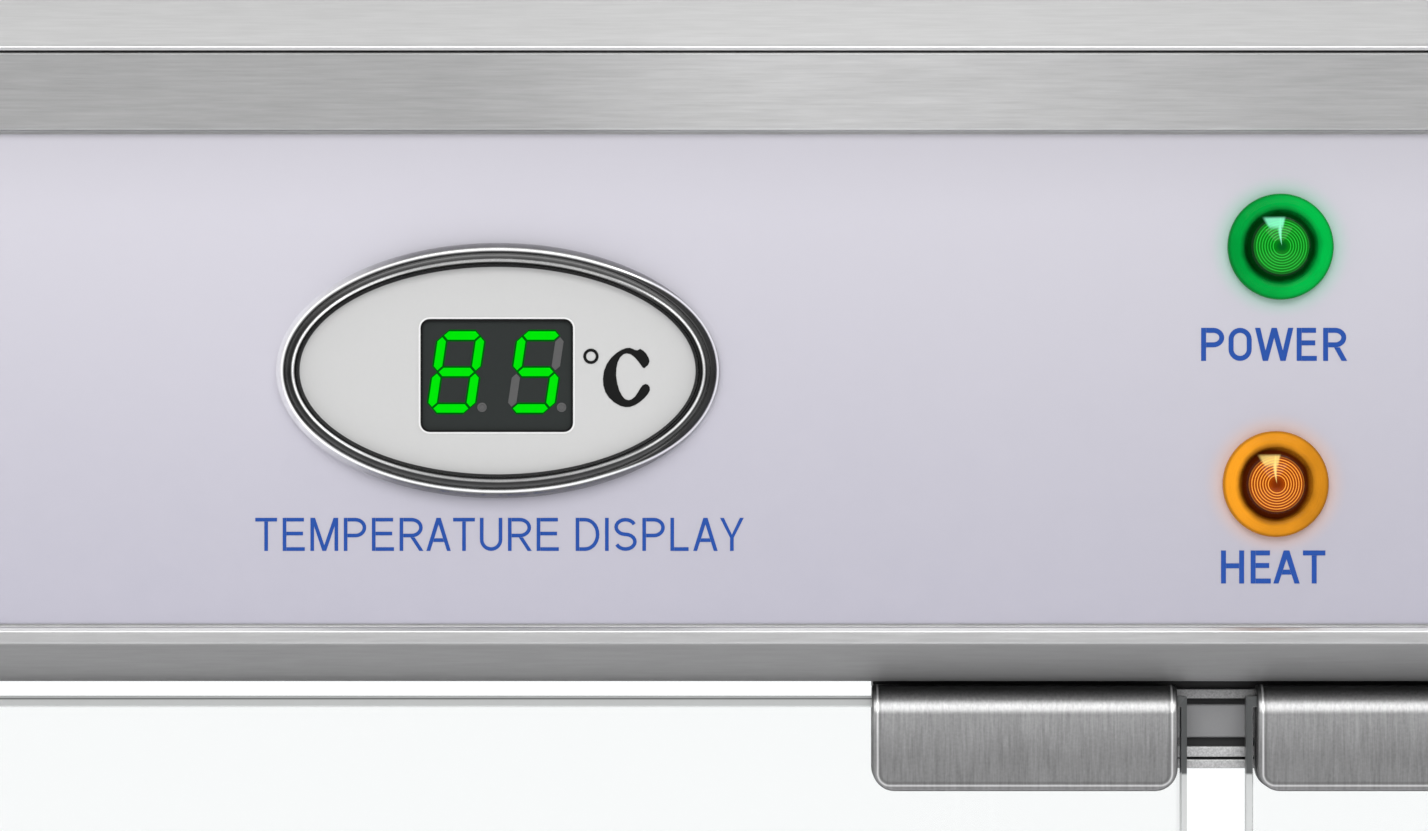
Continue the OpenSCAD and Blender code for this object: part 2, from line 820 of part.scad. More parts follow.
module door_strike(side) {
    near = door_inner + clip_inset;
    x0 = side > 0 ? near : -near - clip_w;
    color("silver")
        translate([0, glass_y, ceiling_z - clip_clear - clip_out]) glass_clip(x0, x0 + clip_w);
}

// A glass clip with a tab and pin behind it, for the top of the door
module hinge_shoe(side) {
    far = door_outer - clip_inset + 0.75;
    x0 = side > 0 ? far - clip_w : -far;
    top = -clip_clear;
    union() {
        translate([0, glass_y, top - clip_out]) glass_clip(x0, x0 + clip_w);
        block([side * pivot_x - 8, glass_y + clip_out - 0.4, top - 9], [side * pivot_x + 8, pivot_y + 4, top - 5.5]);
        rod_z(side * pivot_x, pivot_y, top - 8, pin_h, pin_r);
    }
}

module door_hinges(side) {
    color("silver") {
        translate([0, 0, ceiling_z]) hinge_shoe(side);
        translate([0, 0, base_top]) mirror([0, 0, 1]) hinge_shoe(side);
    }
}

module door_handle(side) {
    x = side * (door_inner + handle_in);
    face = glass_y - glass_t / 2;
    color("silver") union() {
        bar_pull(x, face, handle_z, handle_span, handle_reach, handle_r, 0);
        for (end = [-1, 1]) {
            z = handle_z + end * handle_span / 2;
            rod_y(x, z, face - 1, face + glass_t + 1, handle_bolt_r);
            rod_y(x, z, face + glass_t, face + glass_t + 2.5, 7);
        }
    }
}

// ---------------------------------------------------------------- nodes

base_shell();
base_floor();
floor_plate();
rubber_feet();
heating_elements();
element_brackets();
drawer_runners();
inlet_housing();
inlet_pins();
tray_pan();
tray_front();
tray_pull();
corner_post(-1, -1);  // post_front_left
corner_post(1, -1);  // post_front_right
corner_post(-1, 1);  // post_rear_left
corner_post(1, 1);  // post_rear_right
side_glass(-1);  // side_glass_left
side_glass(1);  // side_glass_right
rear_glass();
shelf_standards();
shelf_rails(-1);  // shelf_rails_left
shelf_rails(1);  // shelf_rails_right
wire_shelf(shelf_levels[0]);  // shelf_lower
wire_shelf(shelf_levels[1]);  // shelf_upper
header_shell();
header_rim();
control_label();
top_lid();
ceiling_pan();
lamp_reflector();
lamp_tube();
lamp_lens();
terminal_block();
case_screws();
catch_core();
catch_plates();
catch_magnet();
display_bezel();
display_plate();
display_module();
display_case();
sensor_bulbs();
power_lens();
heat_lens();
pilot_lamp_bodies();
thermostat_body();
thermostat_knob();
knob_shaft();
switch_frames();
power_rocker();
light_rocker();
pivot_bushes();
door_glass(-1);  // door_left_glass
door_strike(-1);  // door_left_strike
door_hinges(-1);  // door_left_hinges
door_handle(-1);  // door_left_handle
door_glass(1);  // door_right_glass
door_strike(1);  // door_right_strike
door_hinges(1);  // door_right_hinges
door_handle(1);  // door_right_handle
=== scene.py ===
"""Countertop warming cabinet: finishes, trim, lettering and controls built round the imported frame."""
import json
import math

import bmesh
import bpy
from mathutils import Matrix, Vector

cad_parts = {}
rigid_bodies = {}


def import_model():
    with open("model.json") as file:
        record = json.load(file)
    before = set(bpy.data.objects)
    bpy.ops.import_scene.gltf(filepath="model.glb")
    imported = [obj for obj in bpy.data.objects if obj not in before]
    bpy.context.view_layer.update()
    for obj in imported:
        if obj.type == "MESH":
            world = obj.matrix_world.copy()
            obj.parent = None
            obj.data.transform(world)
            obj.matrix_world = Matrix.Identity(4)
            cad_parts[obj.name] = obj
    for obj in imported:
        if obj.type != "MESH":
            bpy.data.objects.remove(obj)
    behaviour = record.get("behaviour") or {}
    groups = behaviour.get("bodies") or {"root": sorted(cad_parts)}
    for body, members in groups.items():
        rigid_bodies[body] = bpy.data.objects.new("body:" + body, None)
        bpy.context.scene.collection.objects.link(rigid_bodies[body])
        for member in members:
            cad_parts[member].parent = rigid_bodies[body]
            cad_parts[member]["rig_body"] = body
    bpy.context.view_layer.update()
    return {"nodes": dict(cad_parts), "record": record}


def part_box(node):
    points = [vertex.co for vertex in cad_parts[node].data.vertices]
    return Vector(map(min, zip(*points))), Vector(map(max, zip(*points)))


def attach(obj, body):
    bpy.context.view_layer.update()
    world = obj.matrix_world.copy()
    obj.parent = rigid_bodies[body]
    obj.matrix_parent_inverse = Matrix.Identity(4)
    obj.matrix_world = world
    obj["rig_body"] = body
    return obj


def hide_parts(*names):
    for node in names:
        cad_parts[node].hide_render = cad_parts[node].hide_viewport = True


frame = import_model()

bl_info = {
    "name": "Warming cabinet",
    "version": (1, 0, 0),
    "blender": (4, 5, 0),
    "location": "View3D > Sidebar > Cabinet",
    "description": "Finishes, trim, lettering and controls of a glass-door warming cabinet",
    "category": "Object",
}

MM = 0.001
PRINT = 0.03 * MM  # thickness of printed letters
SLOTS = {part["node"]: part["material_slot"] for part in frame["record"]["subparts"]}


def middle(node):
    """The middle of a CAD node's box."""
    low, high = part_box(node)
    return (low + high) / 2


FACE_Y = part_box("control_label")[1].y
FILM_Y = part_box("control_label")[0].y
DISPLAY = middle("display_plate")
WINDOW = middle("display_module")
BEZEL_X = DISPLAY.x + 0.1 * MM
POWER = middle("power_lens")
HEAT = middle("heat_lens")
KNOB = middle("thermostat_knob")
HEADER_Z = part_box("header_shell")[0].z
BLACK, WHITE = (0, 0, 0, 1), (1, 1, 1, 1)


def header(height):
    """The Z of a height in mm above the header's lower edge."""
    return HEADER_Z + height * MM


def srgb(red, green=None, blue=None):
    """A colour from 0 to 255 levels, as the shader's linear values. One level makes a grey."""
    green = red if green is None else green
    blue = red if blue is None else blue
    levels = [value / 255 for value in (red, green, blue)]
    return tuple(v / 12.92 if v < 0.04045 else ((v + 0.055) / 1.055) ** 2.4 for v in levels) + (1.0,)


def shaded(colour, *shares):
    """The colour with its levels multiplied by one share, or by one for each of red, green and blue."""
    shares = shares * 3 if len(shares) == 1 else shares
    return tuple(level * share for level, share in zip(colour[:3], shares)) + (1.0,)


# ------------------------------------------------------------------ settings

def colour_setting(name, description, default):
    return bpy.props.FloatVectorProperty(
        name=name, description=description, subtype="COLOR", size=4, min=0, max=1, default=default)


def length_setting(name, description, millimetres):
    return bpy.props.FloatProperty(
        name=name, description=description, unit="LENGTH", subtype="DISTANCE", default=millimetres * MM, precision=5)


class CabinetColours(bpy.types.PropertyGroup):
    film: colour_setting("Label film", "Pale film over the header face", srgb(211, 209, 217))
    lettering: colour_setting("Lettering", "Printed words and dial", srgb(30, 76, 160))
    plate: colour_setting("Display plate", "Satin plate round the display window", srgb(203, 203, 202))
    digits: colour_setting("Digits", "Lit display segments", srgb(2, 236, 10))
    dark_segments: colour_setting("Dark segments", "Display segments that are off", srgb(92, 92, 92))
    power_lens: colour_setting("Power lens", "Flange of the power lamp", srgb(2, 170, 66))
    heat_lens: colour_setting("Heat lens", "Flange of the heat lamp", srgb(228, 148, 34))


class CabinetSizes(bpy.types.PropertyGroup):
    letter: length_setting("Letter height", "Height of the printed words", 4.05)
    digit: length_setting("Digit height", "Height of a display digit", 9.95)
    digit_pitch: length_setting("Digit pitch", "Distance between the display digits", 9.75)
    slant: bpy.props.FloatProperty(
        name="Digit slant", description="Lean of the display digits", unit="ROTATION", subtype="ANGLE",
        default=math.radians(8.4))
    edge: length_setting("Sheet edge", "Radius on the folded edges of the steel sheet", 0.35)
    clip_edge: length_setting("Clip edge", "Radius on the edges of the clips", 0.32)


class CabinetLight(bpy.types.PropertyGroup):
    key: bpy.props.FloatProperty(
        name="Key light", description="Soft panel before the cabinet", unit="POWER", default=40.0, min=0)
    fill: bpy.props.FloatProperty(
        name="Room light", description="Brightness of the pale room", default=1.0, min=0)


def settings():
    scene = bpy.context.scene
    return scene.cabinet_colours, scene.cabinet_sizes, scene.cabinet_light


# ------------------------------------------------------------------ finishes

class Value:
    """A node's output, so that sums on a surface read as sums."""

    def __init__(self, finish, socket):
        self.finish, self.socket = finish, socket

    def _math(self, operation, first, second=0.0):
        return self.finish.node("Math", {"operation": operation}, {0: first, 1: second})

    def __add__(self, other):
        return self._math("ADD", self, other)

    def __sub__(self, other):
        return self._math("SUBTRACT", self, other)

    def __rsub__(self, other):
        return self._math("SUBTRACT", other, self)

    def __mul__(self, other):
        return self._math("MULTIPLY", self, other)

    def __truediv__(self, other):
        return self._math("DIVIDE", self, other)

    def __pow__(self, other):
        return self._math("POWER", self, other)

    def __abs__(self):
        return self._math("ABSOLUTE", self)

    def most(self, other):
        """The larger of the two."""
        return self._math("MAXIMUM", self, other)

    __radd__ = __add__
    __rmul__ = __mul__


class Nodes:
    """A node tree that is built up from values."""

    def __init__(self, tree):
        self.tree = tree
        tree.nodes.clear()

    def feed(self, socket, value):
        if isinstance(value, Value):
            self.tree.links.new(value.socket, socket)
        else:
            socket.default_value = value

    def node(self, kind, options=None, inputs=None, output=0):
        """Adds a node: its settings first, then the values or links of its sockets."""
        made = self.tree.nodes.new("ShaderNode" + kind)
        for name, value in (options or {}).items():
            if name == "stops":
                elements = made.color_ramp.elements
                elements[0].position, elements[-1].position = value[0][0], value[-1][0]
                for position, _ in value[1:-1]:
                    elements.new(position)
                for element, (_, colour) in zip(elements, value):
                    element.color = colour
            else:
                setattr(made, name, value)
        for key, value in (inputs or {}).items():
            self.feed(made.inputs[key], value)
        return Value(self, made.outputs[output])

    def mix(self, factor, first, second):
        return self.node("Mix", {"data_type": "RGBA"}, {0: factor, 6: first, 7: second}, 2)

    def steps(self, value, low, high):
        """Rises smoothly from 0 to 1 as the value goes from low to high."""
        return self.node("MapRange", {"interpolation_type": "SMOOTHSTEP"},
                         {"Value": value, "From Min": low, "From Max": high})

    def bump(self, value, low, top, high):
        """Rises from 0 to 1 between low and top and falls back to 0 at high."""
        return self.steps(value, low, top) * (1 - self.steps(value, top, high))

    def graded(self, value, tones):
        """A grey level that follows a value. The tones are pairs of a value in mm and a level from 0 to 255."""
        low, high = tones[0][0], tones[-1][0]
        stops = [((step - low) / (high - low), srgb(tone)) for step, tone in tones]
        return self.node("ValToRGB", {"stops": stops}, {0: (value / MM - low) / (high - low)})

    def axes(self):
        parts = self.node("SeparateXYZ", None, {0: self.place})
        sockets = parts.socket.node.outputs
        return [Value(self, sockets[i]) for i in range(3)]


class Finish(Nodes):
    """A material with one principled shader and the nodes that vary it over the surface."""

    def __init__(self, name, **constants):
        self.name = name
        self.material = bpy.data.materials.new(name)
        self.material.use_nodes = True
        super().__init__(self.material.node_tree)
        self.shader = self.tree.nodes.new("ShaderNodeBsdfPrincipled")
        self.output = self.tree.nodes.new("ShaderNodeOutputMaterial")
        self.tree.links.new(self.shader.outputs[0], self.output.inputs[0])
        self.place = self.node("TexCoord", output="Object")
        self.set(**constants)

    def set(self, **values):
        """Sets the shader's sockets. An underscore in a name stands for a space."""
        for name, value in values.items():
            self.feed(self.shader.inputs[name.replace("_", " ")], value)
        return self

    def noise(self, scale, detail=2.0, roughness=0.5):
        """Noise from 0 to 1. The scale is a number, or one for each axis, per metre."""
        scale = (scale,) * 3 if isinstance(scale, (int, float)) else scale
        mapped = self.node("Mapping", None, {"Vector": self.place, "Scale": scale})
        return self.node("TexNoise", None, {"Vector": mapped, "Scale": 1.0, "Detail": detail, "Roughness": roughness})

    def relief(self, height, microns):
        return self.set(Normal=self.node("Bump", None, {
            "Height": height, "Distance": microns * 1e-6, "Strength": 1.0}))


def steel(name, grain, dark=140, light=205, rough=0.3, microns=2.0, streak=0.8, uneven=0.1, shade=None, matte=None):
    """Metal with fine streaks along its grain and a slow change of tone, darkened and lightened by painted light and
    shade where a shade is given.
    """
    f = Finish(name, Metallic=1.0)
    fine = f.noise(grain, 3.0, 0.6)
    broad = f.noise(9.0, 1.0)
    tone = f.mix(fine * streak + broad * (1 - streak), srgb(dark), srgb(light))
    if shade:
        tone = f.mix(shade(f), BLACK, tone)
    if matte:
        f.set(Metallic=1 - matte(f))
    f.set(Base_Color=tone, Roughness=fine * uneven + broad * 0.04 + (rough - uneven / 2 - 0.02))
    return f.relief(fine, microns)


def sheen(f, x, left, right):
    """A painted soft upright highlight on the left of the middle. Left and right are the shares that stay beside it.
    """
    middle_x = DISPLAY.x + 35 * MM
    rise = f.steps(x, middle_x - 42 * MM, middle_x) * (1 - left)
    fall = f.steps(x, middle_x + 2 * MM, middle_x + 75 * MM) * (1 - right)
    return rise - fall + left


def rim_shade(f):
    """The rim's painted highlight, with a painted shadow under the lid's edge and painted shade that darkens it
    slightly towards its top.
    """
    x, _, z = f.axes()
    under = f.steps(z, header(76.7), header(77.15))
    upper = f.steps(z, header(68), header(77))
    return sheen(f, x, 0.72, 0.79) * (1 - under * 0.45) * (1 - upper * 0.1)


def lid_shade(f):
    """The lid's painted highlight, with painted shade that darkens it towards its lower edge."""
    x, _, z = f.axes()
    low = 1 - f.steps(z, header(77.9), header(78.5))
    return sheen(f, x, 0.95, 0.94) * (1 - low * 0.12)


def catch_shade(f):
    """The catch's top plate lies in shadow."""
    return 1 - f.steps(f.axes()[2], header(-4), header(-3)) * 0.45


def lip_shade(f):
    """Painted shade that keeps the folded lip darker than the sheet above it, darkest along its lower bend."""
    z = f.axes()[2]
    return f.graded(z - HEADER_Z, [(-0.5, 166), (0.2, 176), (0.9, 192), (4.5, 192), (4.8, 250), (6.4, 255)])


def lip_matte(f):
    """The slope of the lip is dull, so that the clips under it hardly show in it."""
    return (1 - f.steps(f.axes()[2], header(4.5), header(4.8))) * 0.75


def clip_finish(name, node):
    """A folded clip with painted light: painted shade over the top of the bend, a painted highlight on the bend, and
    a thin painted highlight line along its outline.
    """
    f = Finish(name, Metallic=1.0)
    low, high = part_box(node)
    x, _, z = f.axes()
    fine = f.noise((3600.0, 3600.0, 260.0), 3.0, 0.6)
    speck = f.noise(2600.0, 2.0)
    # painted light by height: painted shade at the top of the bend under the lip, lighter lower down
    tone = f.graded(z - HEADER_Z, [
        (-14.0, 140), (-9.0, 142), (-6.4, 154), (-4.6, 162), (-4.2, 162), (-3.7, 155), (-3.3, 156), (-2.9, 156),
        (-2.5, 146), (-2.1, 118), (-1.7, 104), (-1.3, 84), (-1.0, 54), (-0.7, 28), (-0.4, 22)])
    corner = 2.2
    beside = (abs(abs(x) - abs((low.x + high.x) / 2)) / MM - ((high.x - low.x) / 2 / MM - corner)).most(0.0)
    below = ((low.z / MM + corner) - z / MM).most(0.0)
    inset = corner - (beside * beside + below * below) ** 0.5
    # the bright line along the outline is a painted highlight on the rounded edges, slightly darker just inside it
    line = f.bump(inset, 0.48, 0.68, 0.88)
    grain = (fine - 0.5) * 0.7 + (speck - 0.5) * 0.3 + 1
    tone = tone * grain * (1 - f.bump(inset, 0.8, 1.0, 1.3) * 0.25) + line * 0.42
    f.set(Base_Color=f.mix(tone, BLACK, WHITE), Roughness=fine * 0.1 + 0.32)
    return f.relief(fine + speck, 1.0)


def bezel_finish(name, node):
    """Chrome whose bands are painted reflections that follow the oval: a bright outer ridge, brighter on the left, a
    dark hollow, a bright inner line and a black groove of painted shade.
    """
    f = Finish(name, Metallic=1.0)
    low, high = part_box(node)
    mid = 1.35  # middle of the ring's width
    half_x, half_z = (high.x - low.x) / 2 / MM - mid, (high.z - low.z) / 2 / MM - mid
    x, _, z = f.axes()
    across, up = (x - BEZEL_X) / MM / half_x, (z - (low.z + high.z) / 2) / MM / half_z
    away = (across * across + up * up) ** 0.5
    slope = ((across / half_x) ** 2 + (up / half_z) ** 2) ** 0.5
    inset = mid - (away - 1) * away / slope
    side = across / away
    right, left = f.steps(side, 0.45, 0.95), f.steps(side * -1, 0.3, 0.9)
    ridge = 0.84 - right * 0.62
    inner = 2.14 - right * 0.24
    smear = f.noise(500.0, 2.0)
    outer = (1 - f.steps(inset - ridge, -0.1, 0.1)) * (left * 0.55 + 0.2)
    bright = f.bump(inset - ridge, -0.22, 0.0, 0.22)
    hollow = f.bump(inset, 0.9, 1.25, 1.75) * 0.07 + 0.05
    line = f.bump(inset - inner, -0.24, 0.0, 0.24) * (right * 0.45 + left * 0.45 + 0.5)
    groove_shade = 1 - f.bump(inset, 2.25, 2.6, 2.95) * 0.9
    tone = (outer + bright + hollow + line) * groove_shade * (smear * 0.4 + 0.8)
    # the painted highlights also glow faintly
    f.set(Base_Color=f.mix(tone, BLACK, WHITE), Roughness=smear * 0.08 + 0.2,
          Emission_Color=f.mix((bright * 0.6 + outer * left * 0.6 + line) * groove_shade, BLACK, WHITE),
          Emission_Strength=0.4)
    return f.relief(smear, 0.3)


def plastic(name, colour, rough=0.5, grain=900.0, microns=6.0, vary=0.16, constants=None):
    """Moulded plastic, rubber or paint with a fine surface grain and slight tone changes."""
    f = Finish(name, **(constants or {}))
    fine = f.noise(grain, 2.0)
    broad = f.noise(35.0, 2.0)
    lighter = tuple(min(1.0, c * (1 + vary)) for c in colour[:3]) + (1.0,)
    f.set(Base_Color=f.mix(fine * 0.4 + broad * 0.6, shaded(colour, 1 - vary), lighter),
          Roughness=fine * 0.16 + (rough - 0.08))
    return f.relief(fine, microns)


def glass(name, node, bevel=1.1, upright=0.8, tint=srgb(254, 255, 255), edge=srgb(226, 229, 228), cover=0.6,
          shade=None):
    """Clear plate glass: a gloss by angle, with ground edges round the pane."""
    f = Finish(name)
    low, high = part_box(node)
    span = high - low
    thin = min(range(3), key=lambda i: span[i])
    places = f.axes()
    inside = None
    for axis in range(3):
        if axis == thin:
            continue
        centre, half = (low[axis] + high[axis]) / 2, span[axis] / 2
        along = places[axis]
        if axis == 0 and low.x * high.x > 0:
            along, centre = abs(along), abs(centre)
        reach = abs(along - centre) - (half - (bevel if axis == 2 else upright) * MM)
        inside = reach if inside is None else inside.most(reach)
    ground = f.steps(inside, -0.05 * MM, 0.05 * MM)
    smear = f.noise(14.0, 4.0)
    # a shade, where given, paints shade and reflections on the ground edge, which also turns more opaque there
    dark = shade(f, high) if shade else None
    rim = f.mix(dark, edge, srgb(92, 94, 94)) if shade else edge
    f.set(Base_Color=f.mix(ground, WHITE, rim), Metallic=1 - ground,
          Roughness=ground * 0.35 + smear * 0.012 + 0.01)
    gloss = f.node("Fresnel", None, {"IOR": 1.45})
    clear = f.node("BsdfTransparent", None, {"Color": tint})
    solid = ground * (dark * (1 - cover) + cover if shade else cover)
    covered = f.node("MixShader", None, {
        0: gloss * 0.8 * (1 - ground) + solid, 1: clear, 2: Value(f, f.shader.outputs[0])})
    f.tree.links.new(covered.socket, f.output.inputs[0])
    return f


def door_edge_shade(f, high):
    """Painted shade on the door's ground edge: dark along its very top and a little darker over its top 1.3 mm, and
    dark beside the catch as a painted reflection of the dark surroundings.
    """
    x, _, z = f.axes()
    top = f.bump(z, high.z - 0.5 * MM, high.z - 0.26 * MM, high.z - 0.02 * MM)
    band = f.steps(z, high.z - 1.4 * MM, high.z - 1.3 * MM) * 0.34
    beside = f.steps(z, header(-11.6), header(-11.2)) * (1 - f.steps(abs(x), 6 * MM, 6.4 * MM))
    return top.most(band).most(beside)


def lens_finish(name, centre, colour, core, shade, line, glint, lit_side):
    """A ribbed lamp lens. The tone follows the distance from its middle, with a painted highlight on the dome and a
    flange painted lighter on its lit side.
    """
    f = Finish(name, IOR=1.5, Coat_Roughness=0.05, Specular_IOR_Level=0.02)
    x, _, z = f.axes()
    across, up = (x - centre.x) / MM, (z - centre.z) / MM
    radius = (across * across + up * up) ** 0.5
    rib_pitch = 0.33
    wave = f.node("Math", {"operation": "SINE"}, {0: radius * (2 * math.pi / rib_pitch)})
    ribs = f.steps(wave, -0.1, 0.95) * f.steps(radius, 0.75, 1.0)
    cloud = f.noise(260.0, 2.0)
    swirl = f.noise(120.0, 1.0)
    dome = f.mix(ribs, core, line)
    dome = f.mix(1 - f.steps(radius, 0.25, 0.9), dome, shade)
    # a painted highlight, the reflection of a window-shaped light, from the middle up to the dome's rim, wider at its
    # top
    lean = across / (up + 0.01) + 0.05 * (4 - up)
    narrow = f.bump(lean, -0.2, 0.0, 0.16) * f.steps(up, -0.1, 0.5)
    wide = f.steps(lean, -0.66, -0.5) * (1 - f.steps(lean, 0.1, 0.2)) * f.steps(up, 1.9, 2.7)
    painted_glint = (narrow * 0.8).most(wide * (cloud * 0.6 + 0.42)) * (1 - f.steps(up, 3.3, 3.75))
    # the flange is painted lighter on its lit side
    flange = f.mix(f.steps(across * (0.06 * lit_side) + cloud * 0.6, -0.2, 0.7), shaded(colour, 0.62), colour)
    flange = f.mix(f.bump(radius + cloud * 0.8, 4.6, 5.1, 5.6) * 0.35, flange, shaded(colour, 0.35))
    tone = f.mix(f.steps(radius, 3.15, 3.5), dome, shaded(shade, 0.35))
    tone = f.mix(painted_glint, tone, glint)
    tone = f.mix(f.steps(radius + cloud * 0.7 + across * 0.03, 4.35, 5.35), tone, flange)
    tone = f.mix(f.steps(radius, 6.1, 6.35) * 0.6, tone, shaded(colour, 0.35))
    f.set(Base_Color=tone, Roughness=swirl * 0.1 + 0.16, Emission_Color=tone, Emission_Strength=0.16,
          Coat_Weight=0.22 - 0.2 * f.steps(radius, 3.4, 4.6))
    return f.relief(ribs * 0.6 + swirl, 20.0)


def film_finish(name, colour):
    """Pale printed film: a faint mottle, a slow change of tone with painted shade that darkens it towards the bottom,
    painted shadows, a painted glow round the lamps and a satin skin.
    """
    f = Finish(name, Coat_Weight=0.15, Coat_Roughness=0.35)
    mottle = f.noise(210.0, 4.0, 0.65)
    broad = f.noise(16.0, 2.0)
    grain = f.noise(2600.0, 1.0)
    across, _, up = f.axes()
    # painted shade: darker towards the bottom, mixed with a slow random change of tone
    fall = f.steps(up, header(-6), header(76)) * 0.85 + broad * 0.15
    base = f.mix(fall, shaded(colour, 0.665, 0.665, 0.73), colour)
    warm = f.mix(0.6, base, shaded(colour, 0.96, 0.92, 0.94))
    base = f.mix(mottle * 0.35, base, warm)
    # painted soft shade under the rim and to the right, and a thin painted shadow line where the film ends
    shade = f.steps(up, header(56), header(67)) * 0.1 + f.steps(up, header(66.2), header(67.6)) * 0.25
    shade = shade + f.steps(across, DISPLAY.x - 25 * MM, DISPLAY.x + 120 * MM) * 0.08
    ends = 1 - f.steps(up, header(7.0), header(7.45))
    base = f.mix(shade + ends * 0.5, base, shaded(colour, 0.1))
    # a painted glow of the lit lamps on the film round them
    for lamp, glow in ((POWER, srgb(120, 214, 176)), (HEAT, srgb(238, 190, 160))):
        reach = ((across - lamp.x) ** 2 + (up - lamp.z) ** 2) ** 0.5
        base = f.mix((1 - f.steps(reach, 5.8 * MM, 9.0 * MM)) * 0.45, base, glow)
    f.set(Base_Color=base, Roughness=mottle * 0.1 + 0.4)
    return f.relief(grain + mottle * 2, 1.2)


def glow_finish(name, colour):
    """A display segment that is lit, a little uneven."""
    f = Finish(name, Base_Color=BLACK, Emission_Strength=1.0, Roughness=0.4, Specular_IOR_Level=0.0)
    return f.set(Emission_Color=f.mix(f.noise(1500.0, 1.0), shaded(colour, 0.93), colour))


def brass_finish(name):
    """Drawn brass, a little uneven in colour."""
    f = steel(name, (2000.0, 400.0, 2000.0), 120, 200, 0.3, 2.0)
    return f.set(Base_Color=f.mix(f.noise(400.0), srgb(176, 138, 66), srgb(222, 190, 112)))


def make_finishes():
    """One finish for each material slot of the record, and one for each piece that needs its own."""
    colours, _, _ = settings()
    wrap, lid, upright = (150.0, 150.0, 3400.0), (150.0, 3400.0, 3400.0), (3600.0, 3600.0, 210.0)
    dull = {"Specular_IOR_Level": 0.1}
    # grain, dark and light level, roughness, relief, share of streaks, unevenness, places of painted light and shade,
    # and matte places
    steels = {
        "brushed_steel": (wrap, 190, 220, 0.34, 0.5, 0.75, 0.05),
        "shell_steel": (wrap, 190, 220, 0.34, 0.5, 0.75, 0.05, lip_shade, lip_matte),
        "rim_steel": (wrap, 182, 227, 0.34, 0.5, 0.75, 0.05, rim_shade),
        "lid_steel": (lid, 188, 216, 0.34, 0.5, 0.75, 0.05, lid_shade),
        "upright_steel": (upright, 180, 206, 0.34, 0.5, 0.7, 0.06),
        "clip_steel": (upright, 128, 222, 0.36, 1.4, 0.92, 0.1),
        "polished_steel": ((900.0, 900.0, 2400.0), 196, 222, 0.16, 0.5),
        "liner_steel": ((160.0, 2800.0, 2800.0), 150, 200, 0.42, 2.0),
        "shelf_chrome": (700.0, 196, 226, 0.15, 1.0),
        "screw_steel": (2500.0, 120, 200, 0.3, 2.0),
        "catch_plate_steel": (4200.0, 128, 240, 0.42, 3.0, 0.95, 0.1, catch_shade),
        "heater_sheath": ((90.0, 900.0, 900.0), 60, 132, 0.5, 6.0),
    }
    # colour, roughness, grain, relief, change of tone, shader constants
    plastics = {
        "rubber": (srgb(34), 0.82, 1600.0, 14.0),
        "black_plastic": (srgb(30, 30, 31), 0.5, 1300.0, 8.0),
        "terminal_plastic": (srgb(226, 220, 203), 0.45),
        "thermostat_bakelite": (srgb(96, 72, 52), 0.4),
        "white_enamel": (srgb(240, 240, 236), 0.3, 300.0, 8.0, 0.05),
        "ferrite": (srgb(146, 146, 147), 0.55, 2600.0, 2.0, 0.1),
        "display_grey": (colours.plate, 0.42, 2400.0, 0.6, 0.03, {"Coat_Weight": 0.2}),
        "led_window": (srgb(42, 46, 45), 0.4, 1600.0, 0.3, 0.06, {"Specular_IOR_Level": 0.15}),
        "knob_plastic": (srgb(27, 27, 28), 0.42, 2200.0, 9.0, 0.2),
        "rocker_plastic": (srgb(24, 24, 25), 0.26, 2200.0, 2.0, 0.2),
        "nylon": (srgb(232, 228, 212), 0.5, 900.0, 6.0, 0.06),
        "lens_diffuser": (srgb(238, 240, 240), 0.35, 700.0, 12.0, 0.04),
        "lamp_glass": (srgb(246, 246, 240), 0.2, 300.0, 2.0, 0.03),
        "lettering": (colours.lettering, 0.5, 2400.0, 1.0, 0.12, {"Specular_IOR_Level": 0.2}),
        "black_ink": (srgb(20), 0.5, 2400.0, 1.0, 0.3, dull),
        "white_ink": (srgb(232), 0.5, 2400.0, 2.0, 0.05),
        "segment_off": (colours.dark_segments, 0.5, 2400.0, 0.5, 0.1, dull),
        "halo": (srgb(236, 236, 235), 0.35, 2400.0, 1.0, 0.04),
    }
    made = [steel(name, *values) for name, values in steels.items()]
    made += [plastic(name, *values) for name, values in plastics.items()]
    made += [
        brass_finish("contact_brass"),
        clip_finish("strike_steel", "door_right_strike"),
        bezel_finish("bezel_chrome", "display_bezel"),
        film_finish("label_film", colours.film),
        glow_finish("segment_lit", colours.digits),
        glow_finish("segment_glow", srgb(0, 96, 14)),
        glass("door_glass", "door_right_glass", 1.25, 0.7, srgb(253), srgb(232, 234, 233), 0.8, door_edge_shade),
        glass("side_glass", "side_glass_right"),
        glass("case_glass", "rear_glass"),
        lens_finish("green_lens", POWER, colours.power_lens, srgb(0, 112, 16), srgb(0, 84, 24),
                    srgb(30, 182, 52), srgb(140, 246, 200), 1),
        lens_finish("orange_lens", HEAT, colours.heat_lens, srgb(140, 54, 0), srgb(112, 40, 4),
                    srgb(246, 158, 56), srgb(255, 222, 130), -1)]
    return {finish.name: finish.material for finish in made}


FINISHES = {}


# ------------------------------------------------------------------ modelling helpers

def pick(*objects):
    """Selects only these objects and makes the first one active."""
    for other in list(bpy.context.selected_objects):
        other.select_set(False)
    for chosen in objects:
        chosen.select_set(True)
    if objects:
        bpy.context.view_layer.objects.active = objects[0]


def edit(piece, mode="FACE", whole=True):
    """Starts edit mode and selects the whole mesh, unless the caller chooses its own part."""
    pick(piece)
    bpy.ops.object.mode_set(mode="EDIT")
    bpy.ops.mesh.select_mode(type=mode)
    if whole:
        bpy.ops.mesh.select_all(action="SELECT")


